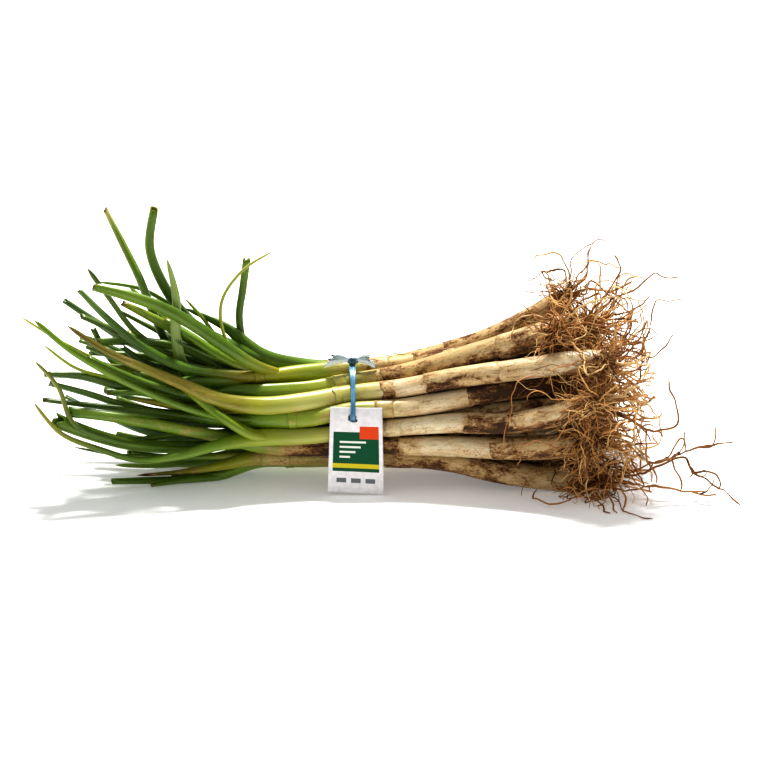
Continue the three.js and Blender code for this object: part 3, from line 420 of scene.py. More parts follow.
def settle(chains):
    """Pushes the chains apart until no two onions touch, keeping each close to its drawn route"""
    starts = np.cumsum([0] + [len(c.points) for c in chains])[:-1]
    P = np.concatenate([c.points for c in chains])
    R = np.concatenate([c.radii for c in chains])
    drawn = P.copy()
    index = np.arange(len(P))
    first = np.isin(index, starts)
    last = np.isin(index, np.append(starts[1:], len(P)) - 1)
    before, after = np.where(first, index, index - 1), np.where(last, index, index + 1)
    face = np.concatenate([np.full(len(c.points), 0.866 if c.kind == "stalk" else 0.951) for c in chains])
    onion_of = np.concatenate([np.full(len(c.points), c.onion) for c in chains])
    seg = index[~last]
    seg_onion = onion_of[seg]
    leaves = [(starts[n], starts[chains.index(c.parent)], c) for n, c in enumerate(chains) if c.parent]
    pairs = None
    for step in range(SETTLE_PASSES):
        if step % SETTLE_REFRESH == 0:
            a, b = P[seg], P[seg + 1]
            reach = (np.maximum(R[seg], R[seg + 1]) + 4)[:, None]
            low, high = np.minimum(a, b) - reach, np.maximum(a, b) + reach
            near = seg_onion[:, None] != seg_onion[None]
            for j in range(3):
                near &= (low[:, None, j] < high[None, :, j]) & (low[None, :, j] < high[:, None, j])
            i, j = np.nonzero(np.triu(near, 1))
            pairs = (seg[i], seg[j])
        m, n = pairs
        t1, t2, gap = nearest(P[m], P[m + 1], P[n], P[n + 1])
        need = R[m] * (1 - t1) + R[m + 1] * t1 + R[n] * (1 - t2) + R[n + 1] * t2 + CLEAR
        distance = np.sqrt((gap * gap).sum(-1))
        hit = distance < need
        way = np.where(distance[:, None] > 1e-6, gap / np.maximum(distance, 1e-12)[:, None], [0.0, 1.0, 0.0])
        amount = way[hit] * ((need - distance) * 0.45)[hit, None]
        push = np.zeros_like(P)
        for where, share in ((m[hit], 1 - t1[hit]), (m[hit] + 1, t1[hit]), (n[hit], t2[hit] - 1), (n[hit] + 1, -t2[hit])):
            np.add.at(push, where, amount * share[:, None])
        late = step > SETTLE_PASSES * 0.7
        smoothing, pull = (0.04, 0) if late else (0.22, 0.004)
        moved = (P + np.clip(push, -2, 2) - drawn) * (1 - pull)
        P = drawn + moved + smoothing * ((moved[before] + moved[after]) / 2 - moved)
        P[:, 2] = np.maximum(P[:, 2], R * face - SINK)
        beside = np.abs(P[:, 0] - CARD_X) - CARD_WIDTH / 2
        behind = card_bend_at(P[:, 2]) + CARD_THICK / 2 + CLEAR
        front = np.maximum(P[:, 1], R + behind - np.maximum(beside - 20, 0) * 0.25)
        P[:, 1] = np.where((beside < 50) & (P[:, 2] < 83), front, P[:, 1])
        off = np.abs(P[:, 0] - to_x(WAIST_U))
        far = np.hypot(P[:, 1], P[:, 2] - WAIST_Z)
        room = BUNDLE_R - 0.9 - R + np.maximum(off - 6, 0) * 0.14
        scale = np.where((off < 60) & (far > room), room / np.maximum(far, 1e-9), 1.0)
        P[:, 1] = P[:, 1] * scale
        P[:, 2] = np.where(scale < 1, WAIST_Z + (P[:, 2] - WAIST_Z) * scale, P[:, 2])
        for at, parent_at, c in leaves:
            k = min(int(c.joint), len(c.parent.points) - 2)
            P[at] = P[parent_at + k] + (P[parent_at + k + 1] - P[parent_at + k]) * (c.joint - k)
    for at, c in zip(starts, chains):
        c.points = P[at:at + len(c.points)].copy()


chains = make_chains()
settle(chains)

ONION_COUNT = len(FRONT_ONIONS) + len(HIDDEN_ONIONS)
stalks = [next(c for c in chains if c.onion == i and c.kind == "stalk") for i in range(ONION_COUNT)]

# Spans that a root has to keep clear of: ends, radius, onion, and whether it is a plant's body
spans = [(c.points[k], c.points[k + 1], max(c.radii[k], c.radii[k + 1]), c.onion, not (k == 0 and c.kind == "stalk"))
         for c in chains for k in range(len(c.points) - 1)]


class Taken:
    """The spans as arrays, which grow as roots are added"""

    def __init__(self, spans):
        self.a, self.b, self.r, self.onion, self.body = (np.array(column) for column in zip(*spans))

    def add(self, onion, points):
        count = len(points) - 1
        self.a = np.concatenate([self.a, points[:-1]])
        self.b = np.concatenate([self.b, points[1:]])
        self.r = np.append(self.r, [ROOT_R] * count)
        self.onion = np.append(self.onion, [onion] * count)
        self.body = np.append(self.body, [False] * count)

    def is_clear(self, onion, a, b, first, room):
        sideways = math.hypot(b[1], b[2] - BULB_END_Z)
        if b[2] < ROOT_R or b[0] < TANGLE_BACK or b[0] > TANGLE_REACH * (0.6 + 0.4 * room):
            return False
        if sideways > TANGLE_RADIUS * room:
            return False
        own = self.onion == onion
        near = ~(own & ~self.body) & ((np.abs(self.a[:, 0] - b[0]) <= 75) | (np.abs(self.b[:, 0] - b[0]) <= 75))
        start = np.where(own[near, None] & first, a + (b - a) * 0.4, a)
        _, _, gap = nearest(start, b, self.a[near], self.b[near])
        return bool((np.linalg.norm(gap, axis=-1) > ROOT_R + self.r[near] + GAP).all())


def unit(v):
    v = np.asarray(v, float)
    return v / np.linalg.norm(v, axis=-1, keepdims=True)


def grow_root(taken, i, j, foot, heading, away):
    """Grows one root from its plate: it heads out of the tangle, wanders, and turns away from what it meets"""
    random = Draws(((i * 61 + j * 17 + 5) * 2654435761) % 4294967296)
    around = (2 * math.pi * (j + random(0, 0.7))) / ROOTS_EACH
    slant, room = random(0.25, 1.25), random(0.72, 1)
    side = unit([-heading[1], heading[0], 0])
    across = unit(np.cross(heading, side))
    way = heading * math.cos(slant) + (side * math.cos(around) + across * math.sin(around)) * math.sin(slant)
    points = [foot]
    for k in range(ROOT_STEPS):
        for t in range(ROOT_TRIES):
            swing = 0.45 + 0.07 * t
            turned = unit([way[c] + away[c] * 0.2 + random(-swing, swing) for c in range(3)])
            if k == 0 and turned @ heading < 0.35:
                continue
            tip = points[-1] + turned * ROOT_STEP * random(0.75, 1.2)
            if taken.is_clear(i, points[-1], tip, k == 0, room):
                points.append(tip)
                way = turned
                break
        else:
            break
    return np.array(points)


def main_roots():
    """The roots that the solids have: for each onion, a list of routes"""
    taken = Taken(spans)
    routes = []
    for i, stalk in enumerate(stalks):
        name = FRONT_ONIONS[i]["name"] if i < len(FRONT_ONIONS) else ""
        foot, base = stalk.points[:2]
        sunk = foot - unit(foot - base) * 1.5
        own = [np.array([sunk] + [seen(p) for p in route[1:]]) for route in STRAY_ROOTS.get(name, [])]
        for points in own:
            points[:, 2] = np.maximum(points[:, 2], ROOT_R * 0.6)
            taken.add(i, points)
        routes.append(own)
    for i, stalk in enumerate(stalks):
        foot, base = stalk.points[:2]
        heading = unit(foot - base)
        away = unit([-12, foot[1], foot[2] - BULB_END_Z])
        for j in range(ROOTS_EACH):
            points = grow_root(taken, i, j, foot - heading * 1.5, heading, away)
            if len(points) >= 3:
                taken.add(i, points)
                routes[i].append(points)
    return routes


root_routes = main_roots()


# From the layout's frame to the bunch's own, whose origin is the middle of its footprint
card_low = np.array([CARD_X - CARD_WIDTH / 2, CARD_BEND[0][1] - CARD_THICK / 2, CARD_BOTTOM])
SHIFT = np.array(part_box("tag")[0]) / MM - card_low


def linear(*srgb):
    """Linear colour from red, green and blue of 0 to 255"""
    c = np.array(srgb) / 255
    return np.where(c <= 0.04045, c / 12.92, ((c + 0.055) / 1.055) ** 2.4)


COLOURS = {
    "cream": linear(218, 201, 168),
    "ivory": linear(230, 217, 188),
    "straw": linear(200, 180, 126),
    "olive": linear(138, 133, 36),
    "pale": linear(188, 186, 108),
    "bright": linear(150, 162, 48),
    "lime": linear(166, 168, 30),
    "green": linear(110, 142, 26),
    "mid": linear(88, 120, 22),
    "dark": linear(58, 88, 14),
    "blue": linear(78, 114, 46),
    "russet": linear(118, 110, 26),
    "brown": linear(98, 82, 26),
    "dry": linear(176, 146, 90),
    "flat": linear(158, 180, 104),
}


class Surface:
    """Points, faces and values of one piece, gathered tube by tube"""

    def __init__(self):
        self.points, self.quads, self.tris, self.values, self.count = [], [], [], [], 0

    def add_tube(self, rings, values, loop=False):
        """A closed tube from rings of points: capped at both ends, or turned back into itself as a loop"""
        n, sides = rings.shape[:2]
        ids = self.count + np.arange(n * sides).reshape(n, sides)
        low, high = (ids, np.roll(ids, -1, axis=0)) if loop else (ids[:-1], ids[1:])
        quads = np.stack([low, np.roll(low, -1, axis=1), np.roll(high, -1, axis=1), high], -1)
        self.quads.append(quads.reshape(-1, 4))
        self.points.append(rings.reshape(-1, 3))
        self.values.append(values.reshape(n * sides, -1))
        self.count += n * sides
        if not loop:
            ends = self.count + np.arange(2)
            self.tris.append(np.stack([np.full(sides, ends[0]), np.roll(ids[0], -1), ids[0]], -1))
            self.tris.append(np.stack([np.full(sides, ends[1]), ids[-1], np.roll(ids[-1], -1)], -1))
            self.points.append(rings[[0, -1]].mean(axis=1))
            self.values.append(values[[0, -1]].mean(axis=1))
            self.count += 2

    def build(self, name, columns, material, slot, *nodes):
        """The Blender object. `columns` names the values: a name and how many numbers it takes"""
        mesh = bpy.data.meshes.new(name)
        points = (np.concatenate(self.points) + SHIFT) * MM
        quads = np.concatenate(self.quads)
        tris = np.concatenate(self.tris) if self.tris else np.zeros((0, 3), int)
        loops = np.concatenate([quads.ravel(), tris.ravel()])
        starts = np.concatenate([np.arange(len(quads)) * 4, len(quads) * 4 + np.arange(len(tris)) * 3])
        mesh.vertices.add(len(points))
        mesh.vertices.foreach_set("co", points.ravel())
        mesh.loops.add(len(loops))
        mesh.loops.foreach_set("vertex_index", loops)
        mesh.polygons.add(len(starts))
        mesh.polygons.foreach_set("loop_start", starts)
        mesh.update(calc_edges=True)
        mesh.polygons.foreach_set("use_smooth", np.ones(len(starts), bool))
        values = np.concatenate(self.values)
        at = 0
        for column, size in columns:
            attribute = mesh.attributes.new(column, "FLOAT" if size == 1 else "FLOAT_VECTOR", "POINT")
            numbers = np.ascontiguousarray(values[:, at:at + size]).ravel()
            attribute.data.foreach_set("value" if size == 1 else "vector", numbers)
            at += size
        mesh.materials.append(material)
        piece = bpy.data.objects.new(name, mesh)
        bpy.context.scene.collection.objects.link(piece)
        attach(piece, "root")
        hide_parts(*nodes)
        return piece


def even_line(points, step, per_span=12):
    """A smooth line through the points at even steps, the lengths along it, and the lengths of its own points"""
    fine = np.array(smooth_line([list(p) for p in points], per_span))
    knots = fine[::per_span, 3]
    count = max(3, round(fine[-1, 3] / step))
    lengths = np.linspace(0, fine[-1, 3], count + 1)
    return np.stack([np.interp(lengths, fine[:, 3], fine[:, j]) for j in range(3)], 1), lengths, knots


def frames_along(line):
    """Unit vectors along a line and across it, carried along it without twisting"""
    along = unit(np.gradient(line, axis=0))
    side = np.zeros_like(line)
    current = np.array([0.0, 0.0, 1.0])
    for k, t in enumerate(along):
        current = current - t * (current @ t)
        current /= np.linalg.norm(current)
        side[k] = current
    return along, side, np.cross(along, side)


def wander(places, wavelength, seed):
    """A smooth random curve about 0 with a spread of about 1"""
    local = np.random.default_rng(seed)
    span = (np.max(places) - np.min(places)) / wavelength
    knots = local.normal(size=int(span) + 6)
    x = (places - np.min(places)) / wavelength + 1
    k = np.clip(x.astype(int), 1, len(knots) - 3)
    t = x - k
    a, b, c, d = knots[k - 1], knots[k], knots[k + 1], knots[k + 2]
    return 0.5 * (2 * b + (c - a) * t + (2 * a - 5 * b + 4 * c - d) * t * t + (3 * b - a - 3 * c + d) * t ** 3)


def round_wander(theta, seed, waves=6):
    """A smooth random curve round a circle"""
    local = np.random.default_rng(seed)
    return sum(local.normal() * np.cos(k * theta + local.uniform(0, 6.3)) / math.sqrt(k) for k in range(1, waves + 1)) / 1.6


def mix_along(stops, x):
    """Colours at places x, from a list of (place, colour name)"""
    stops = sorted(stops, key=lambda stop: stop[0])
    places = [stop[0] for stop in stops]
    table = np.array([COLOURS[stop[1]] if isinstance(stop[1], str) else stop[1] for stop in stops])
    return np.stack([np.interp(x, places, table[:, j]) for j in range(3)], -1)


def u_of(x):
    return x / UNIT + MID_U


# The soil column also carries painted shade: it is made heavier on the undersides
ONION_COLUMNS = [("skin", 3), ("tint", 3), ("dirt", 1), ("shaft", 1), ("tip", 1)]
STALK_STEP, LEAF_STEP = 3.6, 4.0
STALK_ROUND, LEAF_ROUND = 22, 16
WALL = 0.8
HOLLOW = 14
# Height of a bare skin that rests on the table. What lies over the skin there comes down to the table itself.
RESTING_Z = 0.15


class Limb:
    """A stalk or a leaf: its centre line, its cross-sections, and what its skin carries at each ring"""

    def __init__(self, line, lengths, radius, seed, sides, oval, ridges, groove, look):
        self.line, self.lengths, self.radius, self.seed, self.sides, self.look = line, lengths, radius, seed, sides, look
        self.along, self.side, self.up = frames_along(line)
        self.theta = np.arange(sides) * 2 * math.pi / sides
        self.shape = self.section(oval, ridges, groove)

    def section(self, oval, ridges, groove):
        """How each cross-section departs from a circle"""
        local = np.random.default_rng(self.seed)
        theta, lengths = self.theta[None], self.lengths
        turn = wander(lengths, 160, self.seed + 1)[:, None] * 0.7 + local.uniform(0, 6.3)
        size = np.reshape(oval, (-1, 1)) * (1 + 0.4 * wander(lengths, 70, self.seed + 2)[:, None])
        shape = 1 - size * np.cos(2 * (theta - turn))
        for k in (3, 5, 7, 9):
            phase = local.uniform(0, 6.3) + 0.5 * wander(lengths, 60, self.seed + 3 + k)[:, None]
            shape = shape + ridges * (3 / (k + 3)) * np.cos(k * theta + phase)
        dent = np.exp(-(np.angle(np.exp(1j * (theta - turn - 1.2))) / 0.45) ** 2)
        return shape - np.reshape(groove, (-1, 1)) * dent

    def point(self, s, theta, lift):
        """Points at lengths s and angles theta, raised by lift over the skin, and flat where they meet the table"""
        k = np.interp(s, self.lengths, np.arange(len(self.lengths)))
        k0 = np.clip(k.astype(int), 0, len(self.lengths) - 2)
        f = (k - k0)[..., None]
        j = (theta / (2 * math.pi) * self.sides) % self.sides
        j0 = j.astype(int) % self.sides
        g = j - j.astype(int)

        def at_row(row):
            shape = self.shape[row, j0] * (1 - g) + self.shape[row, (j0 + 1) % self.sides] * g
            out = self.side[row] * np.cos(theta)[..., None] + self.up[row] * np.sin(theta)[..., None]
            return self.line[row] + out * (self.radius[row] * shape + lift)[..., None]

        points = at_row(k0) * (1 - f) + at_row(k0 + 1) * f
        points[..., 2] = np.maximum(points[..., 2], np.maximum(RESTING_Z - lift, 0))
        return points

    def values(self, s, theta, **changes):
        """What the skin carries at those places, with any of its columns changed: tint, soil with painted shade, shaft
        and tip
        """
        r = np.interp(s, self.lengths, self.radius)
        columns = [np.stack([np.cos(theta) * r + self.seed * 37.0, np.sin(theta) * r, s], -1)]
        for (name, size), table in zip(ONION_COLUMNS[1:], self.look):
            table = np.reshape(table, (len(self.lengths), -1))
            own = np.stack([np.interp(s, self.lengths, table[:, c]) for c in range(table.shape[1])], -1)
            # Soil is made heavier on the side facing down and lighter on top: painted shade along the underside of each
            # limb
            own = own * (1 - 0.28 * np.cos(theta)[..., None]) if name == "dirt" else own
            own = changes[name](own) if name in changes else own
            columns.append(own)
        return np.concatenate(columns, -1)

    def add_to(self, surface, hollow):
        """The limb as a closed tube. A hollow end is cut off and shows its wall."""
        last = self.lengths[-1]
        s, lift = self.lengths, np.zeros(len(self.lengths))
        if hollow:
            inner = np.arange(last, last - HOLLOW, -LEAF_STEP)
            s = np.concatenate([s, inner])
            lift = np.concatenate([lift, np.full(len(inner), -WALL)])
        s = np.repeat(s[:, None], self.sides, 1)
        theta = np.repeat(self.theta[None], len(s), 0)
        rings = self.point(s, theta, lift[:, None])
        if hollow:
            slope = round_wander(self.theta, self.seed + 9, 4) * self.radius[-1] * 0.8
            near = np.clip(1 - (last - s) / 10, 0, 1)
            rings = rings + self.along[-1] * (np.minimum(slope, 0.5)[None] * near)[..., None]
        surface.add_tube(rings, self.values(s, theta))


def add_sheath(surface, limb, start, end, dirt, tint, seed, lift=0.4, flare=0.0, ragged=2.5):
    """A layer of old skin round a limb, from one length to another, with torn edges"""
    theta = np.arange(30) * 2 * math.pi / 30
    first = start + ragged * round_wander(theta, seed) + ragged * 0.4 * round_wander(theta, seed + 1, 14)
    last = end + ragged * round_wander(theta, seed + 2) + ragged * 0.5 * round_wander(theta, seed + 3, 14)
    last = np.maximum(last, first + 1.5)
    t = np.linspace(0, 1, max(6, int((end - start) / 5)))
    s = first[None] + (last - first)[None] * t[:, None]
    angles = np.repeat(theta[None], len(t), 0)
    edge = np.maximum(t, 1 - t) * 2 - 1
    outer = lift * (1 - 0.3 * edge ** 6) + flare * np.clip(t * 3 - 2, 0, 1)[:] ** 2
    height = outer[:, None] * (1 + 0.35 * round_wander(theta, seed + 4))[None]
    outside = limb.point(s, angles, height)
    inside = limb.point(s[::-1], angles, height[::-1] - np.maximum(0.35, 0.9 * lift))
    rings = np.concatenate([outside, inside])
    both = np.concatenate([s, s[::-1]])
    changes = {"dirt": lambda own: own * 0.3 + dirt * 0.7 * (1 + 0.25 * round_wander(theta, seed + 5)[None, :, None])}
    if tint is not None:
        changes["tint"] = lambda own: own * 0.55 + COLOURS[tint] * 0.45
    values = limb.values(both, np.concatenate([angles, angles]), **changes)
    values[..., 0] += 11.0
    surface.add_tube(rings, values, loop=True)


def add_flake(surface, limb, s, theta, long, wide, lift, tint, dirt, seed):
    """A strip of papery skin that has come away at one end and curls up"""
    local = np.random.default_rng(seed)
    t = np.linspace(0, 1, 9)
    c = np.linspace(-1, 1, 5)
    lean = local.uniform(-0.5, 0.5)
    half = wide * (1 - 0.75 * t ** 1.5) * (1 + 0.15 * wander(t * 10, 2, seed))
    r = np.interp(s, limb.lengths, limb.radius)
    places = np.repeat((s + long * t)[:, None], 5, 1)
    angles = theta + (c[None] * half[:, None] + lean * long * t[:, None] * 0.3) / r
    rise = -0.25 + lift * t[:, None] ** 1.8 + 0.35 * np.abs(c[None]) ** 2 * t[:, None] * wide
    top = limb.point(places, angles, rise)
    low = limb.point(places, angles, rise - 0.3)
    rings = np.concatenate([top, low[:, ::-1]], 1)
    changes = {"dirt": lambda own: np.full_like(own, dirt), "tint": lambda own: own * 0 + COLOURS[tint]}
    values = limb.values(places, angles, **changes)
    surface.add_tube(rings, np.concatenate([values, values[:, ::-1]], 1))


# Stretches of each front stalk, by u: the colours of its coat, how much soil is on it, and its layers of old skin
COATS = {
    "crown": [(560, "cream"), (430, "straw"), (372, "olive"), (340, "green"), (262, "mid"), (190, "dark")],
    "yellow": [(588, "cream"), (400, "straw"), (370, "pale"), (320, "bright"), (285, "lime"), (240, "olive"), (205, "mid"),
        (100, "blue")],
    "slim": [(556, "cream"), (410, "straw"), (372, "pale"), (310, "bright"), (262, "green"), (200, "mid"), (60, "dark")],
    "russet": [(604, "ivory"), (400, "cream"), (360, "pale"), (300, "pale"), (262, "lime"), (240, "olive"), (150, "olive"),
        (105, "russet"), (75, "brown")],
    "dark": [(583, "cream"), (410, "cream"), (372, "pale"), (320, "bright"), (262, "green"), (220, "mid"), (60, "dark")],
    "bright": [(594, "cream"), (430, "ivory"), (385, "cream"), (340, "pale"), (262, "bright"), (215, "green"), (110, "mid"),
        (40, "olive")],
    "pale": [(592, "cream"), (410, "ivory"), (350, "pale"), (290, "olive"), (240, "green"), (160, "green"), (72, "mid")],
    "low": [(598, "cream"), (400, "straw"), (340, "olive"), (262, "olive"), (215, "lime"), (165, "olive"), (148, "brown")],
}
SOIL = {
    "crown": [(569, 0.6), (440, 0.5), (400, 0.45), (352, 0.4), (330, 0.3), (300, 0)],
    "yellow": [(588, 0.5), (560, 0.3), (486, 0.3), (440, 0.5), (416, 0.4), (385, 0.5), (340, 0.25), (320, 0)],
    "slim": [(556, 0.6), (500, 0.5), (440, 0.5), (404, 0.55), (378, 0.4), (350, 0.15), (320, 0)],
    "russet": [(604, 0.45), (575, 0.25), (500, 0.4), (425, 0.5), (423, 0.24), (380, 0.25), (330, 0.1)],
    "dark": [(583, 0.75), (500, 0.7), (465, 0.45), (440, 0.3), (400, 0.25), (370, 0.25), (330, 0.1), (290, 0)],
    "bright": [(594, 0.55), (500, 0.5), (466, 0.6), (463, 0.27), (385, 0.3), (340, 0.1), (300, 0)],
    "pale": [(592, 0.5), (545, 0.45), (493, 0.6), (491, 0.25), (430, 0.25), (405, 0.4), (395, 0.7), (352, 0.75), (300, 0.6),
        (260, 0.1)],
    "low": [(598, 0.6), (480, 0.5), (400, 0.55), (340, 0.35), (262, 0.25), (240, 0.05), (165, 0.2), (150, 0.8)],
}
SHEATHS = {
    "crown": [(560, 446, 0.5, None), (420, 372, 0.45, "dry"), (348, 326, 0.5, "dry")],
    "yellow": [(485, 414, 0.55, "straw"), (392, 368, 0.35, "dry"), (262, 252, 0.1, None)],
    "slim": [(548, 500, 0.5, None), (404, 382, 0.5, "dry"), (346, 334, 0.15, "straw")],
    "russet": [(500, 426, 0.45, "straw"), (396, 382, 0.66, "straw"), (340, 334, 0.1, None)],
    "dark": [(578, 468, 0.72, None), (394, 376, 0.4, "dry"), (297, 288, 0.06, None)],
    "bright": [(590, 466, 0.6, None), (402, 386, 0.25, "straw")],
    "pale": [(580, 492, 0.62, "straw"), (400, 340, 0.6, "dry")],
    "low": [(590, 470, 0.55, None), (425, 350, 0.5, "dry"), (290, 262, 0.25, "straw")],
}
# Papery strips: the plant, u, angle round the stalk, length, half-width, rise, colour and soil
FLAKES = [
    ("slim", 398, 0.5, 15, 2.6, 3.2, "dry", 0.3), ("slim", 388, -0.5, 11, 2.2, 2.4, "straw", 0.3),
    ("yellow", 412, -0.4, 16, 2.4, 2.6, "straw", 0.35), ("yellow", 384, 0.4, 12, 2.4, 2.2, "dry", 0.2),
    ("russet", 346, 0.4, 8, 2.0, 1.8, "dry", 0.2), ("crown", 400, -0.6, 14, 2.4, 2.6, "dry", 0.4),
    ("crown", 338, -0.3, 12, 2.2, 2.0, "dry", 0.5), ("dark", 296, 0.3, 7, 2.2, 1.6, "dry", 0.1),
    ("bright", 396, 0.9, 10, 2.2, 1.8, "straw", 0.1), ("low", 268, 0.3, 13, 2.2, 2.0, "dry", 0.3),
    ("yellow", 258, -0.2, 8, 2.0, 1.6, "dry", 0.1), ("low", 420, 0.9, 15, 2.2, 1.8, "dry", 0.3),
]


LEAF_SHADES = ["mid", "dark", "blue", "green", "mid", "bright", "dark"]
# Side leaves of the front plants: colours from the base to the tip
LEAF_COATS = {
    ("crown", 1): ["green", "mid", "mid", "green"],
    ("crown", 2): ["green", "green", "bright"],
    ("crown", 3): ["mid", "blue", "mid"],
    ("yellow", 1): ["green", "mid", "mid", "mid", "green", "green"],
    ("yellow", 2): ["bright", "green", "mid"],
    ("yellow", 3): ["green", "mid", "mid"],
    ("yellow", 4): ["bright", "bright", "pale"],
    ("slim", 1): ["green", "mid", "flat", "flat"],
    ("slim", 2): ["green", "green", "lime"],
    ("russet", 1): ["lime", "olive", "olive"],
    ("dark", 1): ["green", "mid", "green", "green"],
    ("dark", 2): ["green", "green", "bright", "lime"],
    ("dark", 3): ["mid", "mid", "blue"],
    ("bright", 1): ["bright", "green", "bright"],
    ("bright", 2): ["bright", "green", "bright", "bright"],
    ("pale", 1): ["green", "mid", "dark", "olive"],
    ("pale", 2): ["green", "mid", "green", "mid"],
    ("low", 1): ["olive", "mid", "mid"],
    ("low", 2): ["green", "mid", "dark"],
    ("behind 13", 1): ["green", "mid", "dark", "mid", "green"],
    ("behind 13", 2): ["green", "mid", "green"],
    ("behind 14", 1): ["green", "mid", "dark", "mid", "green", "pale"],
    ("behind 14", 2): ["bright", "green", "green"],
    ("behind 17", 1): ["green", "bright", "green", "bright"],
    ("behind 16", 1): ["green", "mid", "dark"],
}


# Leaves that are pressed flat, and how much
FLAT_LEAVES = {("slim", 1): 0.4, ("bright", 2): 0.35, ("bright", 1): 0.2, ("crown", 3): 0.2, ("pale", 1): 0.15}


def loose_skins(i):
    """Small bits of torn skin on a front plant's shaft, in the form of FLAKES without the name"""
    local = np.random.default_rng(3000 + i)
    return [(local.uniform(345, 555), local.uniform(-1.1, 1.0), local.uniform(4, 10), local.uniform(0.7, 1.6),
             local.uniform(0.5, 1.9), ["dry", "straw", "brown"][local.integers(3)], local.uniform(0.2, 0.7))
            for _ in range(LOOSE_SKINS)]


LOOSE_SKINS = 7


def plain_coat(local, end_u):
    """A coat for an onion behind: white shaft, pale neck, and a leaf of its own green"""
    leaf = LEAF_SHADES[local.integers(len(LEAF_SHADES))]
    neck = ["bright", "pale", "green", "olive"][local.integers(4)]
    shift = local.uniform(-18, 18)
    return [(580, "cream"), (410 + shift, "cream"), (360 + shift, "pale"), (290 + shift, neck),
            (235 + shift, "green"), (200 + shift, leaf), (min(end_u, 180), leaf)]


def plain_soil(local):
    """Soil on an onion behind, heavier near the roots"""
    base = local.uniform(0.45, 0.62)
    return [(600, base + 0.12), (480, base), (400, base - 0.1), (345, 0.25), (300, 0)]


def plain_sheaths(local):
    """Old skin on an onion behind: long near the roots, a band in the middle, a dry cuff at the neck"""
    edge, band, cuff = local.uniform(430, 510), local.uniform(370, 415), local.uniform(262, 335)
    return [(585, edge, local.uniform(0.5, 0.7), None), (band, band - local.uniform(8, 40), local.uniform(0.4, 0.65), "dry"),
            (cuff, cuff - local.uniform(5, 11), 0.05, None)]


def stalk_radius(chain, lengths, knots):
    """Radius along a stalk, from its rounded root end to the tip of its leaf"""
    radius = np.interp(lengths, knots, chain.radii)
    kernel = np.array([1, 2, 3, 2, 1]) / 9
    radius = np.convolve(np.pad(radius, 2, "edge"), kernel, "valid")
    shoulder = 17
    t = np.clip(lengths / shoulder, 0, 1)
    return np.where(t < 1, chain.radii[3] * (0.62 + 0.38 * np.sqrt(1 - (1 - t) ** 2)), radius)


def stalk_limb(chain, name, local, seed):
    line, lengths, knots = even_line(chain.points, STALK_STEP)
    radius = stalk_radius(chain, lengths, knots) * 0.965 * (1 + 0.012 * wander(lengths, 45, seed))
    u = u_of(line[:, 0])
    coat = COATS[name] if name in COATS else plain_coat(local, u[-1])
    soil = SOIL[name] if name in SOIL else plain_soil(local)
    place = u + 2.5 * wander(lengths, 12, seed + 5)
    tint = mix_along(coat, place) * (1 + 0.05 * wander(lengths, 30, seed + 6))[:, None]
    dirt = np.interp(-place, [-stop[0] for stop in soil], [stop[1] for stop in soil])
    shaft = np.clip((u - 290) / 90, 0, 1)
    return line, lengths, radius, tint, dirt, shaft


def leaf_limb(chain, name, number, parent, local, seed):
    line, lengths, knots = even_line(chain.points, LEAF_STEP)
    radius = np.interp(lengths, knots, chain.radii) * 0.96
    radius *= 0.5 + 0.5 * np.clip(lengths / 38, 0, 1) ** 0.7
    radius *= 1 + 0.16 * np.clip((lengths - 40) / 40, 0, 1)
    rest = LEAF_SHADES[local.integers(len(LEAF_SHADES))]
    coat = LEAF_COATS.get((name, number), ["green", rest, rest])
    t = lengths / lengths[-1] + 0.03 * wander(lengths, 20, seed)
    own = mix_along(list(zip(np.linspace(0.1, 1, len(coat)), coat)), t)
    gap = np.linalg.norm(parent.line[None] - line[:, None], axis=2)
    from_parent = parent.look[0][gap.argmin(axis=1)]
    free = np.clip((lengths - 18) / 42, 0, 1)[:, None]
    tint = (from_parent * (1 - free) + own * free) * (1 + 0.07 * wander(lengths, 40, seed + 6))[:, None]
    return line, lengths, radius, tint, np.zeros(len(line)), np.zeros(len(line))


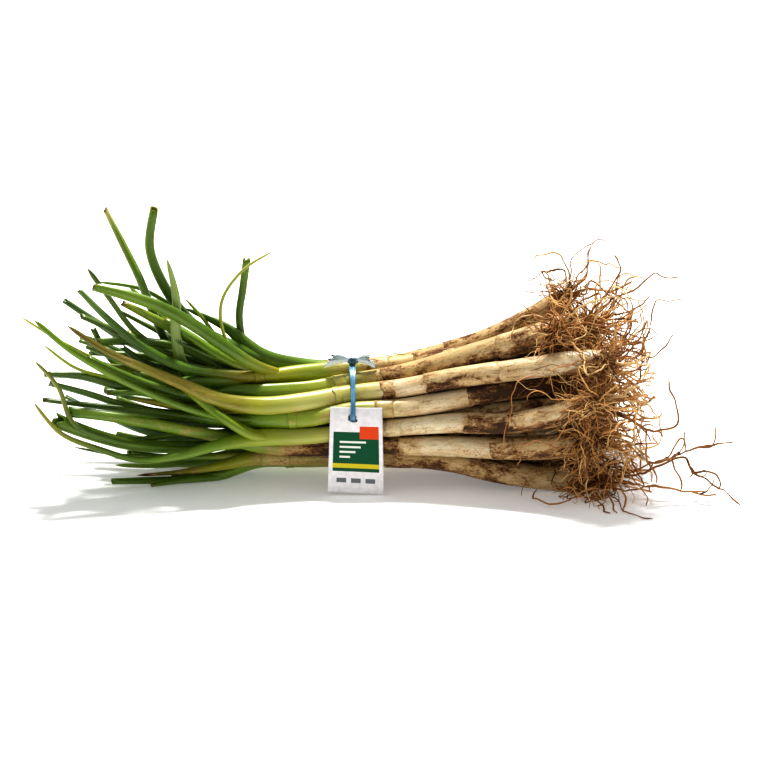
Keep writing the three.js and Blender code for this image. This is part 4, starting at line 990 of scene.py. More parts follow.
def onion(i):
    """One whole plant: its stalk with its longest leaf, and its side leaves"""
    surface = Surface()
    name = FRONT_ONIONS[i]["name"] if i < len(FRONT_ONIONS) else f"behind {i}"
    local = np.random.default_rng(100 + i)
    parent = None
    for n, chain in enumerate(c for c in chains if c.onion == i):
        seed = 1000 * i + 50 * n + 11
        is_stalk = chain.kind == "stalk"
        made = stalk_limb(chain, name, local, seed) if is_stalk else leaf_limb(chain, name, n, parent, local, seed)
        line, lengths, radius, tint, dirt, shaft = made
        left = lengths[-1] - lengths
        hollow = chain.radii[-1] > 1.9
        if is_stalk:
            radius = radius * (1 + 0.16 * (1 - shaft) * np.clip(left / 60, 0, 1))
        if not hollow:
            radius = radius * np.clip(np.sqrt(left / 9), 0.12, 1)
        tip = np.clip(1 - left / local.uniform(3, 11), 0, 1) * local.uniform(0.2, 1)
        oval = 0.03 + 0.09 * (1 - shaft) + 0.16 * hollow * np.exp(-left / 18)
        oval = oval + FLAT_LEAVES.get((name, n), 0) * np.clip((lengths - 30) / 50, 0, 1)
        groove = local.uniform(0.05, 0.28) * (1 - shaft) * np.clip(left / 60, 0, 1) * np.clip((lengths - 20) / 60, 0, 1)
        limb = Limb(line, lengths, radius, seed, STALK_ROUND if is_stalk else LEAF_ROUND, oval,
                    0.006 if is_stalk else 0.01, groove, [tint, dirt, shaft, tip])
        limb.add_to(surface, hollow)
        if is_stalk:
            parent = limb
            for k, (u0, u1, soil, colour) in enumerate(SHEATHS[name] if name in SHEATHS else plain_sheaths(local)):
                s0, s1 = (np.interp(-to_x(u), -line[:, 0], lengths) for u in (u0, u1))
                cuff = s1 - s0 < 12
                add_sheath(surface, limb, s0, s1, soil, colour, seed + 20 + k, flare=0.5 if cuff else 0.2,
                           ragged=0.8 if cuff else 1.1)
            flakes = [flake[1:] for flake in FLAKES if flake[0] == name]
            if name in COATS:
                flakes += loose_skins(i)
            for k, (u0, angle, *shape) in enumerate(flakes):
                s0 = np.interp(-to_x(u0), -line[:, 0], lengths)
                add_flake(surface, limb, s0, FRONT_ANGLE + angle, *shape, seed + 60 + k)
    label = f"{i + 1:02d}"
    return surface.build(f"spring_onion_{label}", ONION_COLUMNS, onion_skin, "onion", f"onion_{label}")


# The side of a stalk that faces the viewer, as an angle round it
FRONT_ANGLE = math.radians(60)


class Nodes:
    """Short forms for making a material's nodes"""

    def __init__(self, name):
        self.material = bpy.data.materials.new(name)
        self.material.use_nodes = True
        self.tree = self.material.node_tree
        self.shader = self.tree.nodes["Principled BSDF"]

    def link(self, value, socket):
        if isinstance(value, bpy.types.NodeSocket):
            self.tree.links.new(value, socket)
        elif socket.type == "RGBA":
            socket.default_value = (*[float(v) for v in value], 1)
        else:
            socket.default_value = value

    def set(self, **sockets):
        for name, value in sockets.items():
            self.link(value, self.shader.inputs[name.replace("_", " ")])

    def attribute(self, name, vector=False):
        node = self.tree.nodes.new("ShaderNodeAttribute")
        node.attribute_name = name
        return node.outputs["Vector" if vector else "Fac"]

    def noise(self, vector, scale, offset=0, detail=3, roughness=0.5, distortion=0):
        """Noise on a vector that is first scaled by three numbers"""
        mapping = self.tree.nodes.new("ShaderNodeMapping")
        self.link(vector, mapping.inputs["Vector"])
        mapping.inputs["Scale"].default_value = scale
        mapping.inputs["Location"].default_value = (offset, offset, offset)
        node = self.tree.nodes.new("ShaderNodeTexNoise")
        self.link(mapping.outputs["Vector"], node.inputs["Vector"])
        for name, value in (("Scale", 1), ("Detail", detail), ("Roughness", roughness), ("Distortion", distortion)):
            node.inputs[name].default_value = value
        return node.outputs["Fac"]

    def math(self, operation, a, b=0.0):
        node = self.tree.nodes.new("ShaderNodeMath")
        node.operation = operation
        self.link(a, node.inputs[0])
        self.link(b, node.inputs[1])
        return node.outputs[0]

    def total(self, *terms):
        """Sum of values, each with its weight"""
        result = None
        for value, weight in terms:
            term = self.math("MULTIPLY", value, weight)
            result = term if result is None else self.math("ADD", result, term)
        return result

    def between(self, value, low, high, to_low=0.0, to_high=1.0):
        """The value taken smoothly from one range to another, held at its ends"""
        node = self.tree.nodes.new("ShaderNodeMapRange")
        node.interpolation_type = "SMOOTHSTEP"
        for socket, number in zip(node.inputs, (value, low, high, to_low, to_high)):
            self.link(number, socket)
        return node.outputs["Result"]

    def mix(self, factor, a, b, blend="MIX"):
        node = self.tree.nodes.new("ShaderNodeMix")
        node.data_type = "RGBA"
        node.blend_type = blend
        for socket, value in ((node.inputs[0], factor), (node.inputs[6], a), (node.inputs[7], b)):
            self.link(value, socket)
        return node.outputs[2]

    def bump(self, height, strength, distance):
        node = self.tree.nodes.new("ShaderNodeBump")
        node.inputs["Strength"].default_value = strength
        node.inputs["Distance"].default_value = distance
        self.link(height, node.inputs["Height"])
        return node.outputs["Normal"]


def onion_material():
    """White shaft with earth rubbed into it, heavier on the undersides as painted shade, and waxy green leaves"""
    n = Nodes("onion_skin")
    skin, tint = n.attribute("skin", vector=True), n.attribute("tint", vector=True)
    # The soil attribute holds real soil and painted shade: it is heavier on each limb's underside, so stains and crust
    # gather there
    dirt, shaft, tip = n.attribute("dirt"), n.attribute("shaft"), n.attribute("tip")
    green = n.math("SUBTRACT", 1, shaft)

    patch = n.noise(skin, (0.05, 0.05, 0.022), 20, 3, 0.55, 0.6)
    blotch = n.noise(skin, (0.15, 0.15, 0.065), 0, 5, 0.68, 0.5)
    speckle = n.noise(skin, (0.7, 0.7, 0.36), 40, 4, 0.68)
    grit = n.noise(skin, (2.2, 2.2, 1.5), 80, 2, 0.6)
    fibre = n.noise(skin, (1.9, 1.9, 0.018), 70, 3, 0.6)
    mottle = n.noise(skin, (0.07, 0.07, 0.016), 90, 3, 0.5)

    base = n.mix(n.between(fibre, 0.32, 0.7, 0.36, 0), tint, tuple(linear(194, 178, 126)), "MULTIPLY")
    base = n.mix(n.between(mottle, 0.5, 0.72, 0, 0.4), base, tuple(linear(222, 206, 160)), "MULTIPLY")
    bloom = n.math("MULTIPLY", n.between(mottle, 0.35, 0.6, 0.2, 0), green)
    base = n.mix(bloom, base, tuple(linear(160, 182, 96)))
    spots = n.math("MULTIPLY", n.between(n.noise(skin, (1.0, 1.0, 0.5), 9, 2), 0.66, 0.76, 0, 0.45), green)
    base = n.mix(spots, base, tuple(linear(200, 200, 110)))

    pattern = n.total((patch, 0.3), (blotch, 0.4), (speckle, 0.22), (grit, 0.08), (fibre, 0.1))
    height = n.math("SUBTRACT", pattern, n.math("SUBTRACT", 0.72, n.math("MULTIPLY", dirt, 0.36)))
    here = n.between(dirt, 0, 0.08)
    stain = n.math("MULTIPLY", n.between(height, -0.13, 0.01, 0, 0.8), here)
    soil = n.math("MULTIPLY", n.between(height, 0.0, 0.05, 0, 0.95), here)
    crust = n.math("MULTIPLY", n.between(height, 0.05, 0.1), here)
    pores = n.total((n.noise(skin, (1.1, 1.1, 0.6), 120, 2), 0.75), (patch, 0.3))
    pores = n.math("MULTIPLY", n.between(pores, 0.6, 0.66, 0, 0.8), n.between(dirt, 0.08, 0.32))
    smear = n.total((n.noise(skin, (0.55, 0.55, 0.11), 150, 5, 0.7), 0.7), (blotch, 0.3))
    smear = n.math("MULTIPLY", n.between(smear, 0.5, 0.6, 0, 0.62), n.between(dirt, 0.05, 0.35))
    base = n.mix(stain, base, tuple(linear(190, 156, 106)))
    base = n.mix(smear, base, tuple(linear(148, 114, 72)))
    base = n.mix(soil, base, n.mix(n.between(grit, 0.4, 0.6), tuple(linear(116, 80, 44)), tuple(linear(154, 112, 66))))
    base = n.mix(n.math("MAXIMUM", crust, pores), base, tuple(linear(70, 46, 26)))
    dry = n.between(n.total((tip, 1), (speckle, 0.7)), 0.8, 1.25)
    base = n.mix(dry, base, tuple(linear(120, 104, 48)))
    n.set(Base_Color=base)

    n.set(Roughness=n.between(n.total((soil, 0.8), (stain, 0.3), (speckle, 0.3)), 0.1, 1.0, 0.33, 0.92))
    relief = n.total((fibre, 0.35), (soil, 0.35), (n.math("MULTIPLY", soil, grit), 1.0), (crust, 0.5))
    n.set(Normal=n.bump(relief, 0.6, 0.6 * MM))
    n.set(Subsurface_Weight=0.1, Subsurface_Scale=0.002, Subsurface_Radius=(1.0, 0.9, 0.4), Specular_IOR_Level=0.55)
    return n.material


def root_material():
    """Dry orange-brown roots with dark earth on them, which near the plates also stands for painted shade"""
    n = Nodes("root_fibre")
    skin, tint = n.attribute("skin", vector=True), n.attribute("tint", vector=True)
    grain = n.noise(skin, (1.2, 1.2, 0.5), 0, 3, 0.6)
    base = n.mix(n.between(grain, 0.35, 0.65, 0.35, 0), tint, tuple(linear(140, 92, 44)))
    # The crust follows the earth attribute, which near the plates is also painted shade
    crust = n.between(n.total((n.attribute("earth_and_shade"), 1), (grain, 0.8)), 0.9, 1.2)
    base = n.mix(crust, base, tuple(linear(78, 50, 28)))
    n.set(Base_Color=base, Roughness=0.6, Specular_IOR_Level=0.4)
    n.set(Normal=n.bump(grain, 0.6, 0.3 * MM))
    return n.material


def ribbon_material():
    """Thin glossy plastic ribbon, a little see-through"""
    n = Nodes("ribbon_plastic")
    skin, tint = n.attribute("skin", vector=True), n.attribute("tint", vector=True)
    line = n.noise(skin, (1.8, 0.08, 0.08), 0, 3, 0.5)
    base = n.mix(n.between(line, 0.35, 0.7, 0, 0.5), tint, tuple(linear(176, 208, 222)))
    n.set(Base_Color=base, Roughness=0.3, Transmission_Weight=0.25, IOR=1.4)
    n.set(Normal=n.bump(line, 0.6, 0.4 * MM))
    return n.material


def card_material():
    """White card with a plain generic print: a green panel with pale bars, and an orange strip"""
    n = Nodes("card_stock")
    place, front = n.attribute("place", vector=True), n.attribute("front")
    split = n.tree.nodes.new("ShaderNodeSeparateXYZ")
    n.link(place, split.inputs[0])
    x, z = split.outputs[0], split.outputs[2]

    def box(x0, x1, z0, z1, soft=0.2):
        across = n.math("SUBTRACT", n.math("ABSOLUTE", n.math("SUBTRACT", x, (x0 + x1) / 2)), (x1 - x0) / 2)
        up = n.math("SUBTRACT", n.math("ABSOLUTE", n.math("SUBTRACT", z, (z0 + z1) / 2)), (z1 - z0) / 2)
        return n.between(n.math("MAXIMUM", across, up), -soft, soft, 1, 0)

    paper = n.noise(place, (0.2, 0.2, 0.2), 0, 4, 0.6)
    base = n.mix(n.between(paper, 0.35, 0.7), tuple(linear(236, 233, 234)), tuple(linear(220, 217, 218)))
    prints = [(box(-19.5, 19.5, 21, 56), "panel"), (box(-19.5, 19.5, 24, 28), "yellow"), (box(3, 19.5, 50, 61), "orange")]
    prints += [(box(-14, -5 + 4.5 * k, 33 + 4.4 * k, 34.8 + 4.4 * k), "bar") for k in range(4)]
    prints += [(box(-16 + 12 * k, -8 + 12 * k, 11, 15), "grey") for k in range(3)]
    inks = {"panel": linear(0, 84, 52), "yellow": linear(206, 190, 44), "orange": linear(214, 78, 26),
            "bar": linear(228, 230, 222), "grey": linear(110, 116, 120)}
    for mask, ink in prints:
        base = n.mix(n.math("MULTIPLY", mask, front), base, tuple(inks[ink]))
    n.set(Base_Color=base, Roughness=0.5, Specular_IOR_Level=0.25)
    n.set(Normal=n.bump(paper, 0.15, 0.3 * MM))
    return n.material


onion_skin = onion_material()
root_fibre = root_material()
ribbon_plastic = ribbon_material()
card_stock = card_material()

ROOT_COLUMNS = [("skin", 3), ("tint", 3), ("earth_and_shade", 1)]
ROOT_TINTS = [linear(232, 186, 122), linear(198, 146, 86), linear(240, 206, 150), linear(142, 94, 50), linear(220, 168, 104)]
# Root tints darkened for the onions behind: painted shade deep in the tangle
SHADED_ROOT_TINTS = [tint * 0.55 for tint in ROOT_TINTS]
STRAY_TINTS = [linear(180, 128, 76), linear(160, 110, 62), linear(198, 146, 90)]
EARTH_TINT = linear(74, 50, 30)

# Fine roots: how many each plant has, in how many tufts, the length of one step, and how far they reach sideways
FINE_EACH = 58
TUFTS = 6
FINE_STEP = 2.3
REACH_Y = 118


def stalk_spans():
    """Ends and radii of the stalk spans near the roots, which the fine roots are pushed out of"""
    near = [s for s in spans if max(s[0][0], s[1][0]) > TANGLE_BACK - 40]
    return (np.array(column) for column in list(zip(*near))[:3])


# Tufts that hang over the front: onion, direction, number of roots, longest in steps, and how fast they fall
FRONT_TUFTS = [
    (0, (-0.5, -0.6, 0.7), 16, 20, 0.02), (0, (0.4, -0.7, 0.4), 14, 22, 0.03), (1, (-0.2, -0.8, 0.5), 18, 22, 0.03),
    (1, (0.2, -0.9, -0.2), 18, 20, 0.06), (2, (-0.3, -0.9, -0.1), 20, 16, 0.07), (2, (0.1, -0.7, 0.6), 14, 22, 0.03),
    (3, (-0.4, -0.8, 0.1), 18, 13, 0.08), (3, (0.3, -0.8, 0.5), 22, 22, 0.03), (3, (0.3, -0.7, -0.6), 22, 24, 0.05),
    (4, (-0.3, -0.9, 0.0), 22, 18, 0.09), (5, (-0.6, -0.7, -0.3), 26, 17, 0.07), (5, (0.0, -0.9, 0.3), 26, 18, 0.05),
    (5, (0.4, -0.6, -0.6), 24, 24, 0.05), (6, (-0.7, -0.6, 0.0), 26, 17, 0.08), (6, (-0.1, -0.9, -0.3), 28, 20, 0.08),
    (6, (0.5, -0.7, 0.2), 22, 26, 0.03), (7, (-0.3, -0.9, 0.3), 24, 16, 0.04), (7, (0.2, -0.95, 0.1), 34, 30, 0.03),
    (7, (0.6, -0.7, 0.2), 30, 30, 0.02), (7, (0.1, -0.95, 0.0), 24, 34, 0.01), (15, (-0.2, -0.9, 0.1), 22, 22, 0.07),
    (8, (0.5, -0.8, 0.2), 24, 28, 0.03), (8, (0.2, -0.9, 0.3), 20, 30, 0.02),
]


# Single roots that stand out in the photo: onion, start radius, and places as u, v and depth
LOOSE_ROOTS = [
    (3, 1.0, [(598, 352, -60), (620, 364, -52), (637, 354, -48), (646, 330, -44), (653, 305, -42), (665, 302, -40), (680, 300, -40)]),
    (3, 0.95, [(600, 356, -58), (618, 348, -56), (633, 353, -52), (650, 357, -50), (661, 349, -48), (671, 334, -46)]),
    (0, 0.85, [(565, 292, 8), (574, 282, 4), (581, 275, 0), (586, 262, 0), (589, 247, 0)]),
    (1, 0.85, [(583, 322, -10), (600, 300, -14), (612, 284, -16), (618, 266, -14), (612, 256, -12)]),
    (1, 0.9, [(586, 320, -8), (610, 300, -8), (634, 290, -8), (650, 276, -6), (662, 277, -6), (677, 278, -4)]),
    (3, 0.6, [(590, 362, -66), (560, 366, -72), (549, 372, -82), (550, 388, -84), (557, 402, -82)]),
    (4, 0.6, [(580, 380, -36), (572, 374, -70), (568, 386, -82), (563, 404, -84)]),
    (4, 0.6, [(575, 382, -40), (535, 376, -66), (517, 380, -72), (511, 396, -76), (509, 412, -82), (503, 434, -86), (497, 452, -80)]),
    (6, 0.6, [(585, 440, -78), (555, 446, -84), (530, 440, -86), (517, 448, -84), (516, 464, -72)]),
    (7, 0.85, [(592, 484, -46), (585, 492, -62), (562, 501, -84), (542, 501, -82), (531, 495, -64), (536, 489, -50)]),
    (7, 0.7, [(600, 484, -46), (612, 496, -66), (620, 508, -92), (636, 517, -112), (650, 519, -116)]),
    (4, 0.6, [(592, 370, -50), (584, 380, -72), (581, 392, -84), (580, 406, -88)]),
    (3, 0.6, [(600, 364, -62), (594, 374, -74), (595, 384, -82), (598, 394, -84)]),
    (5, 0.65, [(592, 402, -84), (576, 410, -88), (564, 424, -88), (554, 439, -86), (547, 449, -80)]),
    (5, 0.6, [(590, 404, -84), (570, 408, -88), (556, 416, -88), (550, 430, -86)]),
    (6, 0.65, [(592, 440, -80), (586, 454, -88), (576, 468, -86), (563, 477, -80)]),
    (7, 0.95, [(600, 470, -50), (594, 488, -70), (594, 500, -78), (600, 508, -90), (608, 513, -102)]),
    (7, 0.95, [(612, 470, -52), (618, 486, -70), (622, 498, -80), (621, 510, -94)]),
    (7, 0.7, [(618, 468, -56), (632, 478, -66), (640, 491, -74), (643, 504, -86)]),
    (7, 0.95, [(606, 474, -52), (606, 490, -70), (612, 503, -84), (615, 514, -102)]),
    (6, 1.1, [(652, 462, -68), (668, 458, -64), (673, 468, -66), (680, 481, -70), (678, 490, -74)]),
    (6, 1.05, [(652, 462, -68), (666, 456, -62), (675, 442, -60), (681, 437, -58), (683, 451, -61)]),
    (7, 1.0, [(692, 472, -66), (704, 470, -70), (712, 474, -72), (717, 483, -74), (714, 488, -76)]),
]


def grow(at, way, steps, tuft, drop, local, loose=0):
    """Routes that wander from places `at`, side by side, those of one tuft much alike, kept out of the stalks"""
    count = len(at)
    own = local.normal(size=(count, 3)) * 0.12
    shared = local.normal(size=(tuft.max() + 1, 3)) * 0.1
    edge = TANGLE_RADIUS * 0.9 + local.uniform(-14, 18, count) + loose
    reach = TANGLE_REACH - 8 + local.uniform(-16, 22, count) + loose
    p, q, r = stalk_spans()
    rows = np.arange(count)
    route = [at]
    for k in range(steps.max()):
        own = own * 0.8 + local.normal(size=(count, 3)) * 0.12
        shared = shared * 0.85 + local.normal(size=shared.shape) * 0.07
        kink = (local.uniform(size=count) < 0.09)[:, None] * local.normal(size=(count, 3)) * 0.55
        way = way + own + shared[tuft] + kink
        way[:, 2] -= drop
        way = unit(way)
        at = at + way * FINE_STEP
        if k > 1:
            for _ in range(2):
                _, _, gap = nearest(p[None], q[None], at[:, None], at[:, None] + [0, 0, 1e-3])
                distance = np.linalg.norm(gap, axis=-1)
                worst = (r[None] + 0.8 - distance).argmax(axis=1)
                depth = np.maximum(r[worst] + 0.8 - distance[rows, worst], 0)
                at = at - gap[rows, worst] * (depth / np.maximum(distance[rows, worst], 1e-6))[:, None]
        sideways = np.hypot(at[:, 1], at[:, 2] - BULB_END_Z)
        over = np.maximum(sideways - edge, 0) + np.maximum(at[:, 0] - reach, 0)
        inward = unit(np.stack([TANGLE_BACK + 60 - at[:, 0], -at[:, 1], BULB_END_Z - at[:, 2]], -1))
        way = unit(way + inward * np.minimum(over * 0.08, 0.6)[:, None])
        at[:, 1] = np.clip(at[:, 1], -REACH_Y, REACH_Y)
        at[:, 2] = np.maximum(at[:, 2], 0.8)
        route.append(at)
    route = np.stack(route, 1)
    return [route[k, :steps[k] + 1] for k in range(count)]


def fine_roots():
    """The fine roots, tuft by tuft, and their side branches: onion, route, start and end radius and colours of each"""
    local = np.random.default_rng(31)
    count = ONION_COUNT * FINE_EACH
    owner = np.repeat(np.arange(ONION_COUNT), FINE_EACH)
    foot = np.array([s.points[0] for s in stalks])[owner]
    base = np.array([s.points[1] for s in stalks])[owner]
    plate_r = np.array([s.radii[0] for s in stalks])[owner]
    heading = unit(foot - base)
    side = unit(np.stack([-heading[:, 1], heading[:, 0], np.zeros(count)], -1))
    across = np.cross(heading, side)
    tuft = local.integers(0, TUFTS, count) + owner * TUFTS
    turn = local.uniform(0, 2 * math.pi, ONION_COUNT * TUFTS)[tuft] + local.normal(0, 0.4, count)
    slant = np.abs(local.uniform(0.1, 2.1, ONION_COUNT * TUFTS)[tuft] + local.normal(0, 0.3, count))
    radial = side * np.cos(turn)[:, None] + across * np.sin(turn)[:, None]
    out = np.clip(slant, 0, 1.1)[:, None] * plate_r[:, None] * 0.85
    at = foot - heading * local.uniform(0.5, 6, count)[:, None] + radial * out
    way = unit(heading * np.cos(slant)[:, None] + radial * np.sin(slant)[:, None])
    steps = (7 + 29 * local.uniform(0, 1, count) ** 2.2).astype(int)
    fall = (local.uniform(0, 0.05, ONION_COUNT * TUFTS) * (local.uniform(size=ONION_COUNT * TUFTS) < 0.6))[tuft]
    thick = local.uniform(0.42, 0.85, count) * (0.8 + 0.2 * steps / 36)

    for n, (plant, aim, many, most, drop) in enumerate(FRONT_TUFTS):
        plate, aim = stalks[plant], unit(np.array(aim))
        owner = np.concatenate([owner, np.full(many, plant)])
        spot = plate.points[0] - unit(plate.points[0] - plate.points[1]) * 3 + aim * plate.radii[1] * 0.75
        at = np.concatenate([at, spot + local.normal(0, 1.6, (many, 3))])
        way = np.concatenate([way, unit(aim + local.normal(0, 0.28, (many, 3)))])
        steps = np.concatenate([steps, local.integers(6, most, many)])
        tuft = np.concatenate([tuft, np.full(many, tuft.max() + 1)])
        fall = np.concatenate([fall, drop * local.uniform(0.5, 1.5, many)])
        thick = np.concatenate([thick, local.uniform(0.45, 0.8, many)])
    count = len(at)
    loose = np.where(np.arange(count) < ONION_COUNT * FINE_EACH, 0, 22)
    routes = grow(at, way, steps, tuft, fall, local, loose)
    # Roots of the onions behind take the darkened tints, which are painted shade
    shades = [ROOT_TINTS if plant < len(FRONT_ONIONS) else SHADED_ROOT_TINTS for plant in range(ONION_COUNT)]
    found = [(owner[k], routes[k], thick[k], thick[k] * 0.5, shades[owner[k]]) for k in range(count)]

    forked = np.flatnonzero(local.uniform(size=count) < 0.45)
    where = [local.integers(3, len(routes[k]) - 1) for k in forked]
    start = np.array([routes[k][j] for k, j in zip(forked, where)])
    ahead = np.array([routes[k][j] - routes[k][j - 1] for k, j in zip(forked, where)])
    way = unit(unit(ahead) + local.normal(size=start.shape) * 0.5)
    steps = local.integers(4, 13, len(forked))
    branches = grow(start, way, steps, tuft[forked], fall[forked], local)
    found += [(owner[k], line, 0.34, 0.2, shades[owner[k]]) for k, line in zip(forked, branches)]

    strays = [(i, route) for i in range(len(FRONT_ONIONS)) for route in root_routes[i][:stray_count(i)] if len(route) > 4]
    strays = [(i, kinked(route, i)) for i, route in strays for _ in range(3)]
    where = [local.integers(len(route) // 3, len(route) - 2) for _, route in strays]
    start = np.array([route[j] for (_, route), j in zip(strays, where)])
    ahead = np.array([route[j + 1] - route[j] for (_, route), j in zip(strays, where)])
    way = unit(unit(ahead) + local.normal(size=start.shape) * 0.5)
    steps = local.integers(5, 14, len(strays))
    branches = grow(start, way, steps, np.arange(len(strays)), 0.02, local, loose=60)
    found += [(i, line, 0.95, 0.6, STRAY_TINTS) for (i, _), line in zip(strays, branches)]

    for k, (i, thick, places) in enumerate(LOOSE_ROOTS):
        found.append((i, kinked(np.array([seen(place) for place in places]), 700 + k), thick, thick * 0.75, STRAY_TINTS))
    return found


def stray_count(i):
    """How many of an onion's main roots are the long strays, which come first in its list"""
    return len(STRAY_ROOTS.get(FRONT_ONIONS[i]["name"], [])) if i < len(FRONT_ONIONS) else 0


def add_root(surface, line, start_r, end_r, sides, seed, earthy, shades=ROOT_TINTS):
    local = np.random.default_rng(seed)
    lengths = np.concatenate([[0], np.cumsum(np.linalg.norm(np.diff(line, axis=0), axis=1))])
    along, side, up = frames_along(line)
    radius = (start_r + (end_r - start_r) * lengths / lengths[-1]) * (1 + 0.14 * wander(lengths, 9, seed))
    radius[-1] *= 0.4
    theta = np.arange(sides) * 2 * math.pi / sides
    out = side[:, None] * np.cos(theta)[None, :, None] + up[:, None] * np.sin(theta)[None, :, None]
    rings = line[:, None] + out * radius[:, None, None]
    rings[..., 2] = np.maximum(rings[..., 2], 0.1)
    skin = np.stack([out[..., 0] + seed * 3.7, out[..., 1], np.repeat(lengths[:, None], sides, 1)], -1)
    tint = shades[local.integers(len(shades))] * local.uniform(0.7, 1.12)
    # Colour and earth both darken towards the plate: real earth there, and painted shade deep inside the tangle
    shade = tint * (1 - 0.5 * np.exp(-lengths / 11))[:, None, None] + 0 * skin
    earth_and_shade = np.clip(earthy + 0.4 * np.exp(-lengths / 10) + 0.2 * wander(lengths, 14, seed + 1), 0, 1)
    surface.add_tube(rings, np.concatenate([skin, shade, np.repeat(earth_and_shade[:, None, None], sides, 1)], -1))


def add_clod(surface, centre, size, seed):
    """A crumb of earth: a rough ball"""
    local = np.random.default_rng(seed)
    around, down = 7, 5
    theta = np.arange(around) * 2 * math.pi / around
    phi = (np.arange(down) + 0.5) * math.pi / down
    ball = np.stack([np.sin(phi)[:, None] * np.cos(theta), np.sin(phi)[:, None] * np.sin(theta),
                     np.repeat(np.cos(phi)[:, None], around, 1)], -1)
    rings = centre + ball * size * local.uniform(0.7, 1.25, (down, around, 1)) * local.uniform(0.6, 1.2, 3)
    rings[..., 2] = np.maximum(rings[..., 2], 0.1)
    shade = np.broadcast_to(EARTH_TINT * local.uniform(0.6, 1.3), ball.shape)
    surface.add_tube(rings[::-1], np.concatenate([ball * size + seed, shade, np.ones((down, around, 1))], -1))


def kinked(points, seed):
    """A main root's route with small bends of its own, as dry roots have"""
    line, lengths, _ = even_line(points, 2.4, 8)
    swing = np.clip(lengths / 12, 0, 1) * np.clip((lengths[-1] - lengths) / 6, 0.3, 1)
    for c in range(3):
        line[:, c] += swing * (1.0 * wander(lengths, 11, seed + c) + 0.35 * wander(lengths, 4.5, seed + 5 + c))
    line[:, 2] = np.maximum(line[:, 2], 0.9)
    return line


fine_routes = fine_roots()


def roots(i):
    """One plant's root plate with all its roots and the earth caught in them"""
    surface = Surface()
    stalk = stalks[i]
    local = np.random.default_rng(500 + i)
    foot, base = stalk.points[:2]
    heading = unit(foot - base)
    line = np.array([base - heading * 1.0, foot - heading * 1.5, foot - heading * 0.2, foot + heading * 0.8])
    along, side, up = frames_along(line)
    theta = np.arange(16) * 2 * math.pi / 16
    out = side[:, None] * np.cos(theta)[None, :, None] + up[:, None] * np.sin(theta)[None, :, None]
    plate_r = np.array([0.92, 1.06, 0.9, 0.55]) * stalk.radii[0]
    rings = line[:, None] + out * (plate_r[:, None] * local.uniform(0.93, 1.07, (4, 16)))[..., None]
    shade = np.broadcast_to(ROOT_TINTS[3], rings.shape)
    surface.add_tube(rings, np.concatenate([rings - foot, shade, np.full((4, 16, 1), 0.6)], -1))
    for k, points in enumerate(root_routes[i]):
        seed = 9000 + i * 20 + k
        if k < stray_count(i):
            add_root(surface, kinked(points, i), 1.25, 0.75, 7, seed, 0.35, STRAY_TINTS)
        else:
            add_root(surface, kinked(points, seed), 1.0, 0.6, 6, seed, 0.3)
    for k, (owner, line, start_r, end_r, shades) in enumerate(fine_routes):
        if owner != i:
            continue
        add_root(surface, line, start_r, end_r, 4, 20000 + k, local.uniform(0.0, 0.3), shades)
        if local.uniform() < 0.35 and start_r > 0.4:
            size = local.uniform(0.5, 1.9)
            add_clod(surface, line[local.integers(1, max(3, len(line) // 3))], size, 40000 + k)
    label = f"{i + 1:02d}"
    return surface.build(f"root_tuft_{label}", ROOT_COLUMNS, root_fibre, "root", f"roots_{label}")


for i in range(ONION_COUNT):
    onion(i)
    roots(i)


def on_ring(turn, radius):
    """Y and Z of a place round the bundle under the tie, in degrees from the front upwards"""
    a = np.radians(turn)
    return -radius * np.cos(a), WAIST_Z + radius * np.sin(a)


def ribbon_radius(turn):
    past = np.clip((turn - CARD_TURN) / 5, 0, 1) * np.clip((CARD_TURN + 34 - turn) / 16, 0, 1)
    return BUNDLE_R + GAP + RIBBON_THICK / 2 + RIBBON_BULGE * past


def add_strip(surface, middles, width, thick, across, outward, tint, creases, seed, loop=False, torn=0):
    """A thin strip along its middle line. `across` and `outward` are its directions at each place"""
    local = np.random.default_rng(seed)
    n, cols = len(middles), 9
    s = np.linspace(-0.5, 0.5, cols)
    wave = np.zeros((n, cols))
    for k in range(1, 4):
        drift = wander(np.arange(n) * 1.0, 9, seed + k)[:, None] * (0 if loop else 1)
        wave += np.cos(2 * math.pi * k * s[None] + local.uniform(0, 6.3) + drift)
    wave *= np.reshape(creases, (-1, 1)) / 3
    face = middles[:, None] + across[:, None] * (s[None, :, None] * width[:, None, None]) + outward[:, None] * wave[..., None]
    if torn:
        jagged = np.linspace(0, 1, n)[:, None] ** 4 * local.uniform(-torn, torn, cols)
        face = face + unit(middles[-1] - middles[0]) * jagged[..., None]
    rings = np.concatenate([face + outward[:, None] * thick / 2, (face - outward[:, None] * thick / 2)[:, ::-1]], 1)
    surface.add_tube(rings, np.concatenate([rings, np.broadcast_to(tint, rings.shape)], -1), loop)


